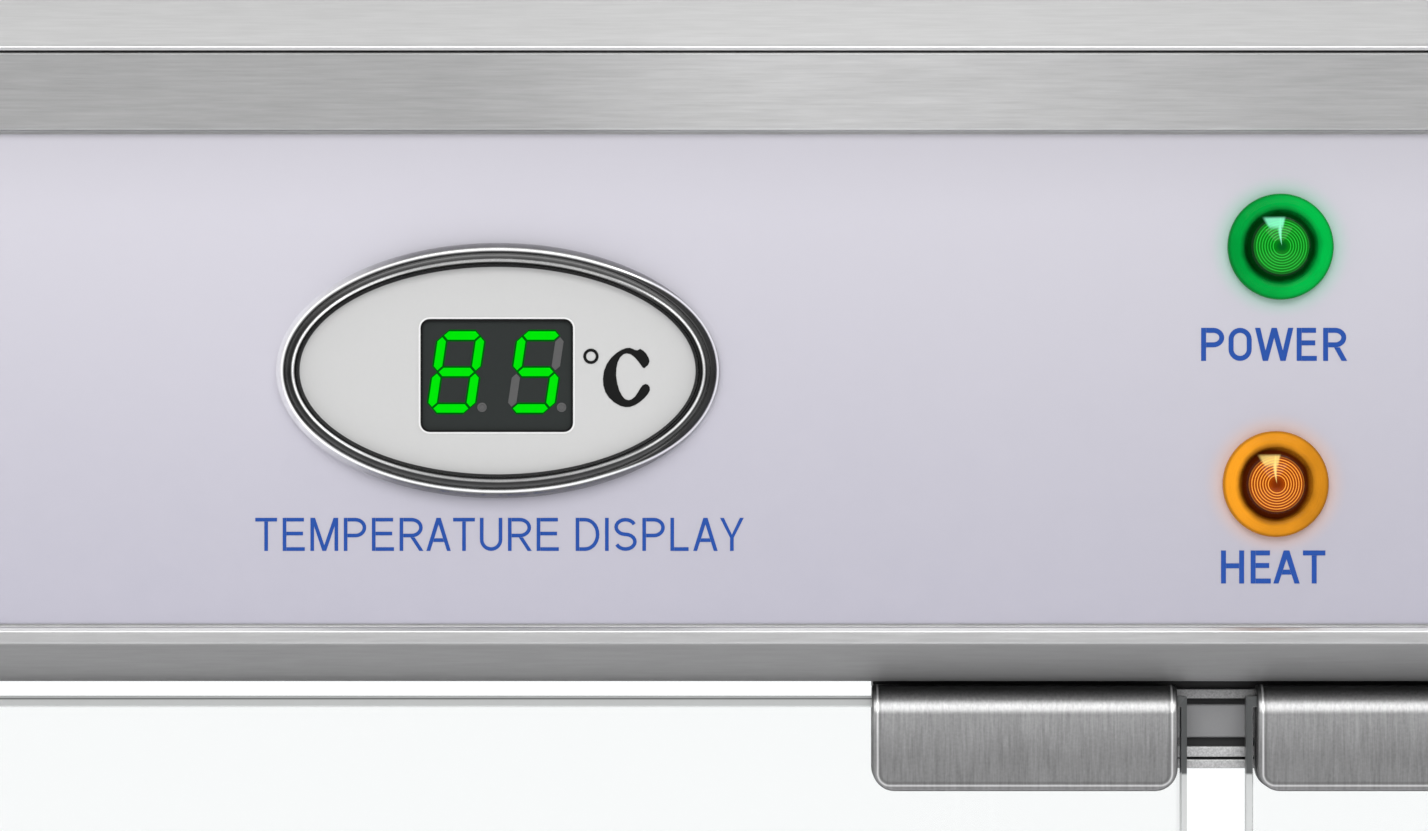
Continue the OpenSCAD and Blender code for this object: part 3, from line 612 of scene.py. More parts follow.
def done_editing():
    bpy.ops.object.mode_set(mode="OBJECT")


def choose(piece, wanted, kind="faces"):
    """In edit mode, selects the faces, edges or vertices that the test accepts."""
    bpy.ops.mesh.select_all(action="DESELECT")
    mesh = bmesh.from_edit_mesh(piece.data)
    for item in getattr(mesh, kind):
        if wanted(item):
            item.select_set(True)
    mesh.select_flush_mode()
    bmesh.update_edit_mesh(piece.data)


def clean(piece, smooth=30):
    """Merges doubles, turns the faces outwards and smooths the gentle edges."""
    edit(piece)
    bpy.ops.mesh.remove_doubles(threshold=2e-6)
    bpy.ops.mesh.normals_make_consistent(inside=False)
    done_editing()
    bpy.ops.object.shade_smooth_by_angle(angle=math.radians(smooth))


def settle(piece):
    """Moves the object's place, turn and scale into its mesh."""
    pick(piece)
    bpy.ops.object.transform_apply(location=True, rotation=True, scale=True)


def extrude(y=0.0, z=0.0):
    """Extrudes what is selected along Y or Z."""
    bpy.ops.mesh.extrude_region_move(TRANSFORM_OT_translate={"value": (0, y, z)})


def place(piece, name, slot, finish=None, body="cabinet", stands_for=()):
    """Names a finished piece, attaches it to its body, gives it its finish, or the slot's finish when none is named,
    and hides the CAD nodes it stands for.
    """
    piece.name = name
    piece.data.name = name
    piece.data.materials.clear()
    piece.data.materials.append(FINISHES[finish or slot])
    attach(piece, body)
    if stands_for:
        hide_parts(*stands_for)
    return piece


def apply_bevel(piece, width, segments=2, angle=30):
    pick(piece)
    bpy.ops.object.shade_smooth()
    bevel = piece.modifiers.new("edges", "BEVEL")
    bevel.width = width
    bevel.segments = segments
    bevel.limit_method = "ANGLE"
    bevel.angle_limit = math.radians(angle)
    bpy.ops.object.modifier_apply(modifier=bevel.name)
    flats = piece.modifiers.new("flats", "WEIGHTED_NORMAL")
    flats.weight = 100
    flats.keep_sharp = True
    bpy.ops.object.modifier_apply(modifier=flats.name)


def refined(node, width, finish=None, segments=2, angle=30):
    """Stands for a CAD node with the same shape and rounded edges."""
    source = frame["nodes"][node]
    piece = bpy.data.objects.new(node + ".finished", source.data.copy())
    bpy.context.collection.objects.link(piece)
    edit(piece)
    bpy.ops.mesh.remove_doubles(threshold=1e-6)
    bpy.ops.mesh.dissolve_limited(angle_limit=math.radians(0.6))
    done_editing()
    apply_bevel(piece, width, segments, angle)
    return place(piece, node + ".finished", SLOTS[node], finish, source["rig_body"], [node])


def turned(x, z, profile, sides=96, filled=True, stretch=None):
    """A round or oval part that stands out of the header face.

    The profile is a list of radius, or half width and half height, and distance out of the face, in mm.
    """
    halves = [(step[0], step[0]) if len(step) == 2 else step[:2] for step in profile]
    outs = [step[-1] for step in profile]
    y = FACE_Y - outs[0] * MM
    bpy.ops.mesh.primitive_circle_add(
        vertices=sides, radius=1.0, fill_type="NGON" if filled else "NOTHING",
        location=(x, y, z), rotation=(math.pi / 2, 0, 0))
    piece = bpy.context.object
    piece.scale = (halves[0][0] * MM, halves[0][1] * MM, 1)
    settle(piece)
    edit(piece, "FACE" if filled else "EDGE")
    for (old, new, out, last) in zip(halves, halves[1:], outs[1:], outs):
        extrude(y=(last - out) * MM)
        if max(new) > 0:
            bpy.ops.transform.resize(
                value=(new[0] / old[0], 1, new[1] / old[1]), center_override=(x, FACE_Y - out * MM, z))
        else:
            bpy.ops.mesh.merge(type="CENTER")
    done_editing()
    clean(piece, 28)
    return piece


def number_mesh(words, height):
    """Flat figures in X and Z, about the middle of their baseline, as a mesh."""
    pick()
    bpy.ops.object.text_add()
    piece = bpy.context.object
    piece.data.body = words
    piece.data.extrude = PRINT / 2
    piece.data.resolution_u = 5
    bpy.ops.object.convert(target="MESH")
    piece = bpy.context.object
    xs = [v.co.x for v in piece.data.vertices]
    ys = [v.co.y for v in piece.data.vertices]
    scale = height / (max(ys) - min(ys))
    piece.location = (-(max(xs) + min(xs)) / 2 * scale, -min(ys) * scale, 0)
    piece.scale = (scale, scale, 1)
    settle(piece)
    turn(piece, x=math.pi / 2)
    return piece


def meet(a, b, c, d):
    """Where the line through a and b crosses the line through c and d."""
    first, second = (b[0] - a[0], b[1] - a[1]), (d[0] - c[0], d[1] - c[1])
    share = ((c[0] - a[0]) * second[1] - (c[1] - a[1]) * second[0]) / (first[0] * second[1] - first[1] * second[0])
    return a[0] + first[0] * share, a[1] + first[1] * share


def arc(x, y, across, up, start, end, steps=14):
    turns = [math.radians(start + (end - start) * i / steps) for i in range(steps + 1)]
    return [(x + across * math.cos(t), y + up * math.sin(t)) for t in turns]


def ribbon(path, s):
    """The outline of a stroke of width s along a path."""
    sides = ([], [])
    for i, (x, y) in enumerate(path):
        before, after = path[max(i - 1, 0)], path[min(i + 1, len(path) - 1)]
        dx, dy = after[0] - before[0], after[1] - before[1]
        long = math.hypot(dx, dy)
        for side, sign in zip(sides, (1, -1)):
            side.append((x - sign * dy / long * s / 2, y + sign * dx / long * s / 2))
    return sides[0] + sides[1][::-1]


def glyph(letter, w, s):
    """The outlines of a plain capital of height 1, width w and stroke s."""
    e, k = 0.004, s * 1.06
    half = w / 2

    def bar(x0, y0, x1, y1):
        return [(x0, y0), (x1, y0), (x1, y1), (x0, y1)]

    def bowl(low, high, straight):
        up = (high - low - s) / 2
        return ribbon([(s + e, high - s / 2)] + arc(straight, (low + high) / 2, w - s / 2 - straight, up, 90, -90)
                      + [(s + e, low + s / 2)], s)

    stem = bar(0, 0, s, 1)
    if letter == "T":
        return [bar(0, 1 - s, w, 1), bar(half - s / 2, 0, half + s / 2, 1 - s - e)]
    if letter == "E":
        return [stem, bar(s + e, 1 - s, w * 0.96, 1), bar(s + e, 0.47, w * 0.92, 0.47 + s), bar(s + e, 0, w, s)]
    if letter == "H":
        return [stem, bar(w - s, 0, w, 1), bar(s + e, 0.46, w - s - e, 0.46 + s)]
    if letter == "L":
        return [stem, bar(s + e, 0, w, s)]
    if letter == "I":
        return [stem]
    if letter in "PR":
        shapes = [stem, bowl(0.41, 1, w * 0.52)]
        if letter == "R":
            shapes.append([(w * 0.47, 0.41 - e), (w * 0.47 + k * 1.1, 0.41 - e), (w + s * 0.2, 0), (w - s * 0.95, 0)])
        return shapes
    if letter == "D":
        return [stem, bowl(0, 1, w * 0.4)]
    if letter == "U":
        radius = half - s / 2
        return [ribbon([(s / 2, 1)] + arc(half, radius + s / 2, radius, radius, 180, 360) + [(w - s / 2, 1)], s)]
    if letter == "S":
        up = (1 - s) / 4
        return [ribbon(arc(half, 1 - s / 2 - up, half - s / 2, up, 22, 268) +
                       arc(half, s / 2 + up, half - s / 2, up, 88, -158), s)]
    if letter == "O":
        return [arc(half, 1 - half, half, half, 0, 180) + arc(half, half, half, half, 180, 360),
                arc(half, 1 - half, half - s, half - s, 0, 180) + arc(half, half, half - s, half - s, 180, 360)]
    if letter == "A":
        peak = meet((k, 0), (half + k * 0.55, 1), (w - k, 0), (half - k * 0.55, 1))
        inner = [meet((k, 0), peak, (0, y), (1, y))[0] + e for y in (0.27, 0.27 + s)]
        return [[(0, 0), (half - k * 0.55, 1), (half + k * 0.55, 1), (w, 0), (w - k, 0), peak, (k, 0)],
                [(inner[0], 0.27), (w - inner[0], 0.27), (w - inner[1], 0.27 + s), (inner[1], 0.27 + s)]]
    if letter == "Y":
        fork = meet((k, 1), (half + s / 2, 0.38), (w - k, 1), (half - s / 2, 0.38))
        return [[(0, 1), (k, 1), fork, (w - k, 1), (w, 1), (half + s / 2, 0.4), (half + s / 2, 0),
                 (half - s / 2, 0), (half - s / 2, 0.4)]]
    if letter == "M":
        notch = meet((k * 1.2, 1), (half + k / 2, 0), (w - k * 1.2, 1), (half - k / 2, 0))
        foot = meet((s, 0), (s, 1), (k * 0.2, 1), (half - k / 2, 0))
        return [[(0, 0), (0, 1), (k * 1.2, 1), notch, (w - k * 1.2, 1), (w, 1), (w, 0), (w - s, 0),
                 (w - s, foot[1]), (half + k / 2, 0), (half - k / 2, 0), foot, (s, 0)]]
    if letter == "W":
        low, high, j = w * 0.27, w * 0.73, k / 2
        left = meet((k, 1), (low + j, 0), (half - j, 1), (low - j, 0))
        peak = meet((half + j, 1), (low + j, 0), (half - j, 1), (high - j, 0))
        return [[(0, 1), (k, 1), left, (half - j, 1), (half + j, 1), (w - left[0], left[1]), (w - k, 1), (w, 1),
                 (high + j, 0), (high - j, 0), peak, (low + j, 0), (low - j, 0)]]
    raise ValueError(letter)


# how far a letter tucks under or over the next one, as a share of the letter height
TUCKS = {"AT": 0.1, "RA": 0.06, "TU": 0.02, "LA": 0.03, "AY": 0.1, "EA": 0.12, "OW": 0.09, "WE": 0.09, "PO": 0.06}


def printed_word(word, height, width, stroke, widths):
    """A word in plain capitals, about the middle of its baseline, spaced out to its width."""
    sizes = [widths.get(letter, widths["other"]) for letter in word]
    tucks = [TUCKS.get(word[i:i + 2], 0) for i in range(len(word))]
    gap = (width / height - sum(sizes) + sum(tucks)) / (len(word) - 1)
    loops, x = [], -width / height / 2
    for letter, wide, tuck in zip(word, sizes, tucks):
        if letter != " ":
            loops += [[((x + a) * height, b * height) for a, b in loop] for loop in glyph(letter, wide, stroke)]
        x += wide + gap - tuck
    return outline(loops[0], PRINT, 0, *loops[1:])


def shift(piece, x=0.0, y=0.0, z=0.0):
    piece.location = (x, y, z)
    settle(piece)
    return piece


def turn(piece, x=0.0, y=0.0, z=0.0):
    piece.rotation_euler = (x, y, z)
    settle(piece)
    return piece


def strip(half, low, high, depth):
    """A flat upright bar in X and Z, with its front at Y 0. The sizes are in mm."""
    corners = ((-half, low), (half, low), (half, high), (-half, high))
    return outline([(x * MM, z * MM) for x, z in corners], depth * MM, 0)


def joined(pieces):
    pick(*pieces)
    if len(pieces) > 1:
        bpy.ops.object.join()
    return bpy.context.view_layer.objects.active


def copy_of(piece):
    other = bpy.data.objects.new(piece.name, piece.data.copy())
    bpy.context.collection.objects.link(other)
    return other


def outline(points, depth, front, *more):
    """A flat plate whose outline, holes and further pieces are given in X and Z, with its front at that Y."""
    data = bpy.data.curves.new("outline", "CURVE")
    data.dimensions = "2D"
    data.fill_mode = "BOTH"
    data.extrude = depth / 2
    for loop in (points, *more):
        line = data.splines.new("POLY")
        line.points.add(len(loop) - 1)
        for point, (x, z) in zip(line.points, loop):
            point.co = (x, z, 0, 1)
        line.use_cyclic_u = True
    piece = bpy.data.objects.new("outline", data)
    bpy.context.collection.objects.link(piece)
    pick(piece)
    bpy.ops.object.convert(target="MESH")
    piece = bpy.context.object
    turn(piece, x=math.pi / 2)
    return shift(piece, y=front + depth / 2)


# ------------------------------------------------------------------ operators

class CABINET_OT_stage(bpy.types.Operator):
    """Adds the pale floor, the room, the lights and the camera"""
    bl_idname = "cabinet.stage"
    bl_label = "Stage"

    def execute(self, context):
        _, _, light = settings()
        pick()
        bpy.ops.mesh.primitive_plane_add(size=12, location=(0, 0, 0))
        floor = bpy.context.object
        floor.name = "floor"
        finish = plastic("pale_floor", srgb(222, 222, 224), 0.7, 40.0, 200.0, 0.03)
        floor.data.materials.append(finish.material)

        # the room is dark straight before the cabinet and brightens to its sides, behind it and overhead
        world = bpy.data.worlds.new("pale_room")
        bpy.context.scene.world = world
        world.use_nodes = True
        room = Nodes(world.node_tree)
        room.place = room.node("TexCoord", output="Generated")
        _, depth, height = room.axes()
        tones = [(0.0, 0.12), (0.006, 0.14), (0.05, 0.44), (0.2, 0.54), (0.42, 0.74), (0.6, 0.76), (0.9, 0.96),
                 (0.97, 1.09), (1.0, 1.09)]
        colour = room.node("ValToRGB", {"stops": [(step, (tone, tone, tone, 1)) for step, tone in tones]}, {
            0: room.node("MapRange", None, {"Value": depth, "From Min": -1})})
        lift = room.node("MapRange", None, {"Value": height, "From Min": 0.1, "To Min": 1.0, "To Max": 1.12})
        shade = room.node("Background", None, {"Color": colour, "Strength": lift * light.fill})
        out = room.tree.nodes.new("ShaderNodeOutputWorld")
        room.tree.links.new(shade.socket, out.inputs[0])

        # a long soft panel over the space before the cabinet, and a broad one over its top
        for name, spot, size, power in (
                ("front_panel", (-0.06, -2.5, POWER.z + 0.7), (1.1, 3.2), light.key),
                ("top_panel", (0.3, 0.2, 2.6), (1.8, 1.4), light.key * 0.35)):
            pick()
            bpy.ops.object.light_add(type="AREA", location=spot)
            lamp = bpy.context.object
            lamp.name = name
            lamp.data.shape = "RECTANGLE"
            lamp.data.size, lamp.data.size_y = size
            lamp.data.energy = power
            lamp.visible_camera = False

        distance = 1.0
        bpy.ops.object.camera_add(
            location=(-61.8 * MM, FACE_Y - distance, header(32.7)), rotation=(math.pi / 2, 0, 0))
        camera = bpy.context.object
        camera.data.lens = 205.5
        camera.data.sensor_width = 36
        bpy.context.scene.camera = camera
        bpy.context.scene.view_settings.view_transform = "Standard"
        return {"FINISHED"}


class CABINET_OT_carried_parts(bpy.types.Operator):
    """Gives every part of the frame its own finish"""
    bl_idname = "cabinet.carried_parts"
    bl_label = "Finishes on the frame"

    def execute(self, context):
        special = {"side_glass_left": "side_glass", "side_glass_right": "side_glass", "top_lid": "lid_steel"}
        for node, part in frame["nodes"].items():
            finish = special.get(node, SLOTS[node])
            if node.startswith("post_"):
                finish = "upright_steel"
            part.data.materials.clear()
            part.data.materials.append(FINISHES[finish])
        return {"FINISHED"}


class CABINET_OT_sheet_steel(bpy.types.Operator):
    """Rounds the folded edges of the header, rim, lid, base, posts and drawer"""
    bl_idname = "cabinet.sheet_steel"
    bl_label = "Sheet steel"

    def execute(self, context):
        _, sizes, _ = settings()
        refined("header_rim", 0.28 * MM, "rim_steel")
        refined("header_shell", 0.2 * MM, "shell_steel")
        refined("top_lid", 0.3 * MM, "lid_steel")
        refined("base_shell", 0.2 * MM)
        refined("tray_front", 0.5 * MM)
        for corner in ("front_left", "front_right", "rear_left", "rear_right"):
            refined("post_" + corner, sizes.edge, "upright_steel")
        return {"FINISHED"}


class CABINET_OT_catch(bpy.types.Operator):
    """Rounds the plates and the magnet of the catch between the doors"""
    bl_idname = "cabinet.catch"
    bl_label = "Magnetic catch"

    def execute(self, context):
        refined("catch_plates", 0.12 * MM)
        refined("catch_magnet", 0.3 * MM)
        return {"FINISHED"}


class CABINET_OT_doors(bpy.types.Operator):
    """Rounds the clips, hinge shoes and bar pulls of both doors"""
    bl_idname = "cabinet.doors"
    bl_label = "Door fittings"

    def execute(self, context):
        _, sizes, _ = settings()
        for side in ("left", "right"):
            refined(f"door_{side}_strike", sizes.clip_edge, "strike_steel", 3, 40)
            refined(f"door_{side}_hinges", sizes.clip_edge, segments=2, angle=40)
            refined(f"door_{side}_handle", 0.5 * MM, angle=40)
        refined("tray_pull", 0.5 * MM, angle=40)
        return {"FINISHED"}


class CABINET_OT_bezel(bpy.types.Operator):
    """Models the chromed oval bezel with its nested ridges and a black ring in the groove inside it, which stands for
    painted shade
    """
    bl_idname = "cabinet.bezel"
    bl_label = "Display bezel"

    def execute(self, context):
        low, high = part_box("display_bezel")
        half_x, half_z = (high.x - low.x) / 2 / MM, (high.z - low.z) / 2 / MM
        # distance in from the rim and distance out of the face
        ridges = [(0, 0.4), (0, 0.9), (0.1, 1.5), (0.32, 2.15), (0.62, 2.6), (0.95, 2.8), (1.12, 2.72), (1.2, 2.45),
                  (1.3, 2.45), (1.36, 2.82), (1.46, 2.9), (1.75, 2.94), (2.08, 2.95), (2.16, 2.7), (2.24, 2.7),
                  (2.32, 3.02), (2.46, 3.14), (2.6, 3.0), (2.66, 2.5), (2.68, 1.8), (2.68, 0.4)]
        # a black ring that stands for the shade in the groove between the bezel and the plate
        groove_shade = [(2.66, 1.75), (2.66, 2.0), (2.95, 2.0), (2.95, 1.75)]
        for profile, name, slot, nodes in ((ridges, "bezel_ring", "bezel_chrome", ["display_bezel"]),
                                           (groove_shade, "bezel_groove", "black_plastic", ())):
            steps = [(half_x - d, half_z - d, out) for d, out in profile + profile[:1]]
            ring = turned(BEZEL_X, DISPLAY.z, steps, 160, filled=False)
            place(ring, name, slot, stands_for=nodes)
        return {"FINISHED"}


def rounded(half_x, half_z, radius, centre):
    """The outline of a rectangle with round corners, in metres."""
    points = []
    for sx, sz, start in ((1, 1, 0), (-1, 1, 90), (-1, -1, 180), (1, -1, 270)):
        points += arc(centre.x + sx * (half_x - radius), centre.z + sz * (half_z - radius),
                      radius, radius, start, start + 90, 6)
    return points


class CABINET_OT_display(bpy.types.Operator):
    """Models the window's edge with its painted highlight and black line, the display digits and the degree mark"""
    bl_idname = "cabinet.display"
    bl_label = "Display"

    # segments a to g: place in units of the digit's half width and half height, and whether it stands up
    SEGMENTS = {"a": (0, 1, 0), "b": (1, 0.5, 1), "c": (1, -0.5, 1), "d": (0, -1, 0),
                "e": (-1, -0.5, 1), "f": (-1, 0.5, 1), "g": (0, 0, 0)}

    def segment(self, length, thick, upright):
        """A bar with pointed ends."""
        pick()
        bpy.ops.mesh.primitive_circle_add(vertices=6, radius=1, fill_type="NGON")
        bar = bpy.context.object
        edit(bar, "VERT")
        bpy.ops.transform.rotate(value=math.radians(30), orient_axis="Z", center_override=(0, 0, 0))
        bpy.ops.transform.resize(value=(thick, thick / 2 / math.cos(math.radians(30)), 1),
                                 center_override=(0, 0, 0))
        for end in (1, -1):
            choose(bar, lambda v: v.co.x * end > 0.1 * thick, "verts")
            bpy.ops.transform.translate(value=(end * (length / 2 - thick), 0, 0))
        done_editing()
        if upright:
            turn(bar, z=math.pi / 2)
        return bar

    def digit(self, names, x, front, grow, sizes):
        """The named segments of one digit, leaning to the right."""
        thick = 1.02 * MM
        half_x, half_z = 2.34 * MM, (sizes.digit - thick) / 2
        bars = []
        for name in names:
            across, up, upright = self.SEGMENTS[name]
            length = (half_z if upright else 2 * half_x) - 0.4 * MM
            bar = self.segment(length + grow, thick + grow, upright)
            bars.append(shift(bar, across * half_x, up * half_z))
        piece = joined(bars)
        edit(piece)
        extrude(z=0.05 * MM)
        done_editing()
        lean = math.tan(sizes.slant)
        for vertex in piece.data.vertices:
            vertex.co.x += vertex.co.y * lean
        turn(piece, x=math.pi / 2)
        shift(piece, x, front, header(38.03))
        clean(piece)
        return piece

    def execute(self, context):
        _, sizes, _ = settings()
        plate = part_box("display_plate")[0].y
        low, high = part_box("display_module")
        front = low.y
        half_x, half_z = (high.x - low.x) / 2, (high.z - low.z) / 2
        first = WINDOW.x - 4.97 * MM
        shown = {first: "abcdefg", first + sizes.digit_pitch: "acdfg"}
        lit, glow, off, dots = [], [], [], []
        for x, names in shown.items():
            lit.append(self.digit(names, x, front - 0.07 * MM, 0, sizes))
            # a larger dim green copy just behind each lit digit paints the glow of its light
            glow.append(self.digit(names, x, front - 0.01 * MM, 0.44 * MM, sizes))
            rest = [name for name in self.SEGMENTS if name not in names]
            if rest:
                off.append(self.digit(rest, x, front - 0.02 * MM, 0, sizes))
            dots.append(turned(x + 3.15 * MM, header(33.7), [
                (0.58, 1.5), (0.58, 1.56), (0.4, 1.6), (0.3, 1.53), (0, 1.53)], 24))
        place(joined(lit), "digits_lit", "led_window", "segment_lit")
        place(joined(glow), "digits_glow", "led_window", "segment_glow")
        place(joined(off), "digits_off", "led_window", "segment_off")
        place(joined(dots), "digit_dots", "led_window", "segment_off")

        # a light bead round the window, which is a painted highlight on the window's edge, and a black line inside it
        for name, outer, inner, finish, out in (("window_bead", 0.34, 0.1, "halo", 0.05),
                                                ("window_line", 0.12, -0.14, "black_ink", 0.08)):
            rims = [rounded(half_x + grow * MM, half_z + grow * MM, (1 + grow) * MM, WINDOW)
                    for grow in (outer, inner)]
            bead = outline(rims[0], 0.02 * MM, plate - out * MM, rims[1])
            place(bead, name, "display_grey", finish)

        # the degree ring and the letter C, which leans on a thick left stroke
        ring_x, ring_z = WINDOW.x + 11.53 * MM, header(39.95)
        ring = turned(ring_x, ring_z, [(0.94, 1.8), (0.94, 1.86), (0.58, 1.86), (0.58, 1.8), (0.94, 1.8)], 48,
                      filled=False)
        trace = [(5.07, -2.5), (5.53, -2.11), (5.7, -1.65), (5.6, -1.27), (5.28, -0.7), (4.89, -0.32),
                 (4.54, -0.14), (4.23, -0.32), (3.91, -0.28), (3.59, -0.11), (3.27, -0.01), (2.85, -0.04),
                 (2.29, -0.25), (1.65, -0.63), (1.02, -1.2), (0.46, -1.97), (0.11, -2.89), (-0.01, -3.8),
                 (0.04, -4.58), (0.28, -5.42), (0.74, -6.13), (1.37, -6.69), (2.08, -7.1), (2.71, -7.27),
                 (3.27, -7.25), (3.91, -7.04), (4.54, -6.62), (5.11, -6.13), (5.53, -5.63), (5.74, -5.21),
                 (5.7, -4.79), (5.49, -4.51), (5.21, -4.44), (4.86, -4.58), (4.58, -4.93), (4.26, -5.49),
                 (3.91, -5.99), (3.49, -6.32), (3.13, -6.42), (2.71, -6.3), (2.36, -5.92), (2.01, -5.28),
                 (1.73, -4.3), (1.6, -3.38), (1.65, -2.46), (1.8, -1.76), (2.08, -1.2), (2.5, -0.81), (2.92, -0.69),
                 (3.42, -0.81), (3.91, -1.2), (4.33, -1.69), (4.68, -2.18), (4.89, -2.45)]
        left, top = WINDOW.x + 13.01 * MM, header(41)
        letter = outline([(left + a * MM, top + b * MM) for a, b in trace], 0.06 * MM, plate - 0.06 * MM)
        place(joined([letter, ring]), "degree_mark", "display_grey", "black_ink")
        return {"FINISHED"}


class CABINET_OT_lamps(bpy.types.Operator):
    """Models the green and orange pilot lamp lenses"""
    bl_idname = "cabinet.lamps"
    bl_label = "Pilot lamps"

    def execute(self, context):
        profile = [(6.5, 0.4), (6.5, 1.1), (6.42, 1.5), (6.2, 1.8), (5.8, 2.0), (5.3, 2.08), (4.85, 2.05),
                   (4.55, 1.9), (4.4, 1.5), (4.3, 1.35), (4.15, 1.5), (3.8, 2.0), (3.4, 2.4), (2.9, 2.72),
                   (2.3, 2.98), (1.6, 3.16), (0.8, 3.27), (0, 3.3)]
        for name, centre, slot in (("power_lens", POWER, "green_lens"), ("heat_lens", HEAT, "orange_lens")):
            lens = turned(centre.x, centre.z, profile, 96)
            place(lens, name + "_dome", slot, stands_for=[name])
        return {"FINISHED"}


class CABINET_OT_lettering(bpy.types.Operator):
    """Prints the plain words under the display and the lamps"""
    bl_idname = "cabinet.lettering"
    bl_label = "Lettering"

    def execute(self, context):
        _, sizes, _ = settings()
        light_face = {"M": 0.84, "I": 0.11, " ": 0.17, "A": 0.74, "R": 0.7, "D": 0.72, "L": 0.55, "Y": 0.72,
                      "T": 0.66, "E": 0.67, "P": 0.68, "other": 0.68}
        bold_face = {"W": 1.16, "E": 0.61, "A": 0.8, "T": 0.68, "other": 0.7}
        words = (("TEMPERATURE DISPLAY", 59.9, DISPLAY.x + 0.3 * MM, 16.1, 0.11, light_face),
                 ("POWER", 17.8, POWER.x - 0.82 * MM, 39.4, 0.15, bold_face),
                 ("HEAT", 12.8, HEAT.x - 0.28 * MM, 12.1, 0.15, bold_face))
        for text, width, x, up, stroke, face in words:
            piece = printed_word(text, sizes.letter, width * MM, stroke, face)
            shift(piece, x, FILM_Y - 0.045 * MM, header(up))
            place(piece, "word_" + text.lower().replace(" ", "_"), "label_film", "lettering")
        return {"FINISHED"}


class CABINET_OT_thermostat(bpy.types.Operator):
    """Models the thermostat knob, its pointer and the printed dial"""
    bl_idname = "cabinet.thermostat"
    bl_label = "Thermostat"

    LOW, HIGH, STEP, SWEEP = 30, 110, 10, 270

    def angle(self, reading):
        """The dial's angle for a temperature, clockwise from straight up."""
        return math.radians((reading - self.LOW) / (self.HIGH - self.LOW) * self.SWEEP - self.SWEEP / 2)

    def execute(self, context):
        x, z = KNOB.x, KNOB.z
        profile = [(19, 1.2), (19, 3.0), (18.8, 3.5), (18.2, 3.95), (15.6, 4.9), (15.0, 5.6), (14.5, 11),
                   (14.1, 16.2), (13.7, 17.3), (13.0, 18.0), (12.0, 18.3), (11.0, 18.2), (10.4, 18.0),
                   (6, 18.3), (0, 18.45)]
        knob = turned(x, z, profile, 120)
        edit(knob, whole=False)

        def flute(face):
            """Two of every five faces on the grip's wall."""
            centre = face.calc_center_median()
            out = (FACE_Y - centre.y) / MM
            degrees = math.degrees(math.atan2(centre.x - x, centre.z - z)) % 12
            return 5.7 < out < 16.1 and 3 < degrees < 9 and abs(face.normal.y) < 0.6

        choose(knob, flute)
        extrude()
        bpy.ops.transform.resize(value=(0.965, 1, 0.965), center_override=(x, KNOB.y, z))
        done_editing()
        clean(knob, 32)
        place(knob, "knob_grip", "knob_plastic", body="thermostat", stands_for=["thermostat_knob"])

        setting = self.angle(86)
        bar = shift(turn(strip(0.5, 5, 12.6, 0.3), y=setting), x, FACE_Y - 18.5 * MM, z)
        skirt = shift(turn(strip(0.45, 15.9, 18.3, 1.4), y=setting), x, FACE_Y - 4.9 * MM, z)
        place(joined([bar, skirt]), "knob_pointer", "knob_plastic", "white_ink", "thermostat")

        marks = []
        for reading in range(self.LOW, self.HIGH + 1, self.STEP // 2):
            long = reading % 20 == 10
            angle = self.angle(reading)
            tick = turn(strip(0.22 if long else 0.15, 20.2, 22.2 if long else 21.4, 0.02), y=angle)
            marks.append(shift(tick, x, FILM_Y - 0.02 * MM, z))
            if long:
                number = number_mesh(str(reading), 2.6 * MM)
                marks.append(shift(number, x + 25.6 * MM * math.sin(angle), FILM_Y - 0.015 * MM,
                                   z + 24.9 * MM * math.cos(angle) - 1.3 * MM))
        place(joined(marks), "dial_scale", "label_film", "lettering")
        return {"FINISHED"}


class CABINET_OT_switches(bpy.types.Operator):
    """Rounds the switch frames and the rocker switches"""
    bl_idname = "cabinet.switches"
    bl_label = "Switches"

    def execute(self, context):
        refined("switch_frames", 0.35 * MM)
        for node in ("power_rocker", "light_rocker"):
            refined(node, 0.5 * MM, segments=3, angle=14)
        return {"FINISHED"}


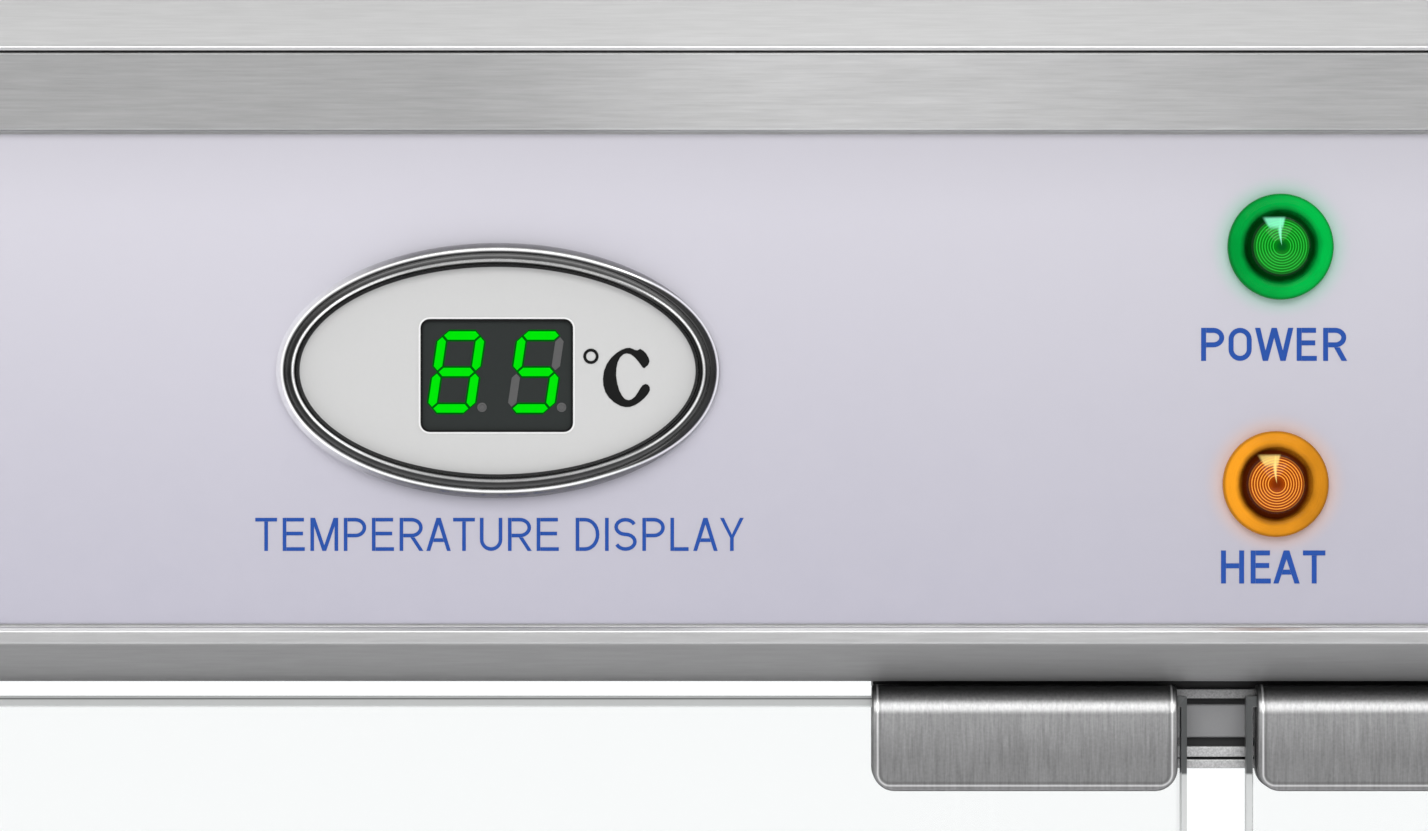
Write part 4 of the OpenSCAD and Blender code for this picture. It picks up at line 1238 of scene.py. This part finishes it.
class CABINET_OT_fixings(bpy.types.Operator):
    """Models one case screw with its drive recess and copies it to every hole"""
    bl_idname = "cabinet.fixings"
    bl_label = "Case screws"

    def execute(self, context):
        profile = [(1.6, -3.0), (1.6, 0), (3.6, 0), (3.62, 0.5), (3.4, 1.1), (2.9, 1.7), (2.2, 2.05), (1.35, 2.2)]
        master = turned(0, 0, profile, 24)
        edit(master, whole=False)
        front = FACE_Y - 2.2 * MM
        choose(master, lambda f: abs(f.calc_center_median().y - front) < 0.02 * MM and len(f.verts) > 8)
        extrude(y=0.9 * MM)
        bpy.ops.transform.resize(value=(0.8, 1, 0.8), center_override=(0, front, 0))
        done_editing()
        clean(master, 30)
        shift(master, y=-FACE_Y)

        # one screw stands at every head's place on the sides and the back
        side_x, rear_y, top_row = 328.5 * MM, 248.5 * MM, header(40)
        spots = [((side * side_x, y * MM, top_row), side * math.pi / 2) for side in (-1, 1) for y in (-160, 10, 180)]
        spots += [((x * MM, rear_y, z), math.pi) for x in (-280, 280) for z in (30 * MM, 92 * MM, top_row)]
        screws = []
        for spot, facing in spots:
            screw = copy_of(master)
            pick(screw)
            screws.append(shift(turn(screw, z=facing), *spot))
        bpy.data.objects.remove(master)
        place(joined(screws), "pan_screws", "screw_steel", stands_for=["case_screws"])
        return {"FINISHED"}


class CABINET_OT_base(bpy.types.Operator):
    """Rounds the feet, the drawer pan and the inlet"""
    bl_idname = "cabinet.base"
    bl_label = "Base parts"

    def execute(self, context):
        refined("rubber_feet", 0.9 * MM, segments=3)
        refined("inlet_housing", 0.5 * MM)
        refined("inlet_pins", 0.4 * MM)
        refined("tray_pan", 0.3 * MM)
        return {"FINISHED"}


class CABINET_PT_panel(bpy.types.Panel):
    bl_label = "Warming cabinet"
    bl_idname = "CABINET_PT_panel"
    bl_space_type = "VIEW_3D"
    bl_region_type = "UI"
    bl_category = "Cabinet"

    def draw(self, context):
        for group in settings():
            for name in group.__annotations__:
                self.layout.prop(group, name)
        for step in STEPS:
            self.layout.operator(step.bl_idname)


STEPS = (CABINET_OT_stage, CABINET_OT_carried_parts, CABINET_OT_sheet_steel, CABINET_OT_catch, CABINET_OT_doors,
         CABINET_OT_bezel, CABINET_OT_display, CABINET_OT_lamps, CABINET_OT_lettering, CABINET_OT_thermostat,
         CABINET_OT_switches, CABINET_OT_fixings, CABINET_OT_base)
GROUPS = {"cabinet_colours": CabinetColours, "cabinet_sizes": CabinetSizes, "cabinet_light": CabinetLight}


def register():
    for cls in (*GROUPS.values(), *STEPS, CABINET_PT_panel):
        bpy.utils.register_class(cls)
    for name, group in GROUPS.items():
        setattr(bpy.types.Scene, name, bpy.props.PointerProperty(type=group))


def unregister():
    for name in GROUPS:
        delattr(bpy.types.Scene, name)
    for cls in reversed((*GROUPS.values(), *STEPS, CABINET_PT_panel)):
        bpy.utils.unregister_class(cls)


def main():
    register()
    FINISHES.update(make_finishes())
    for step in STEPS:
        group, name = step.bl_idname.split(".")
        getattr(getattr(bpy.ops, group), name)()


if __name__ == "__main__":
    main()
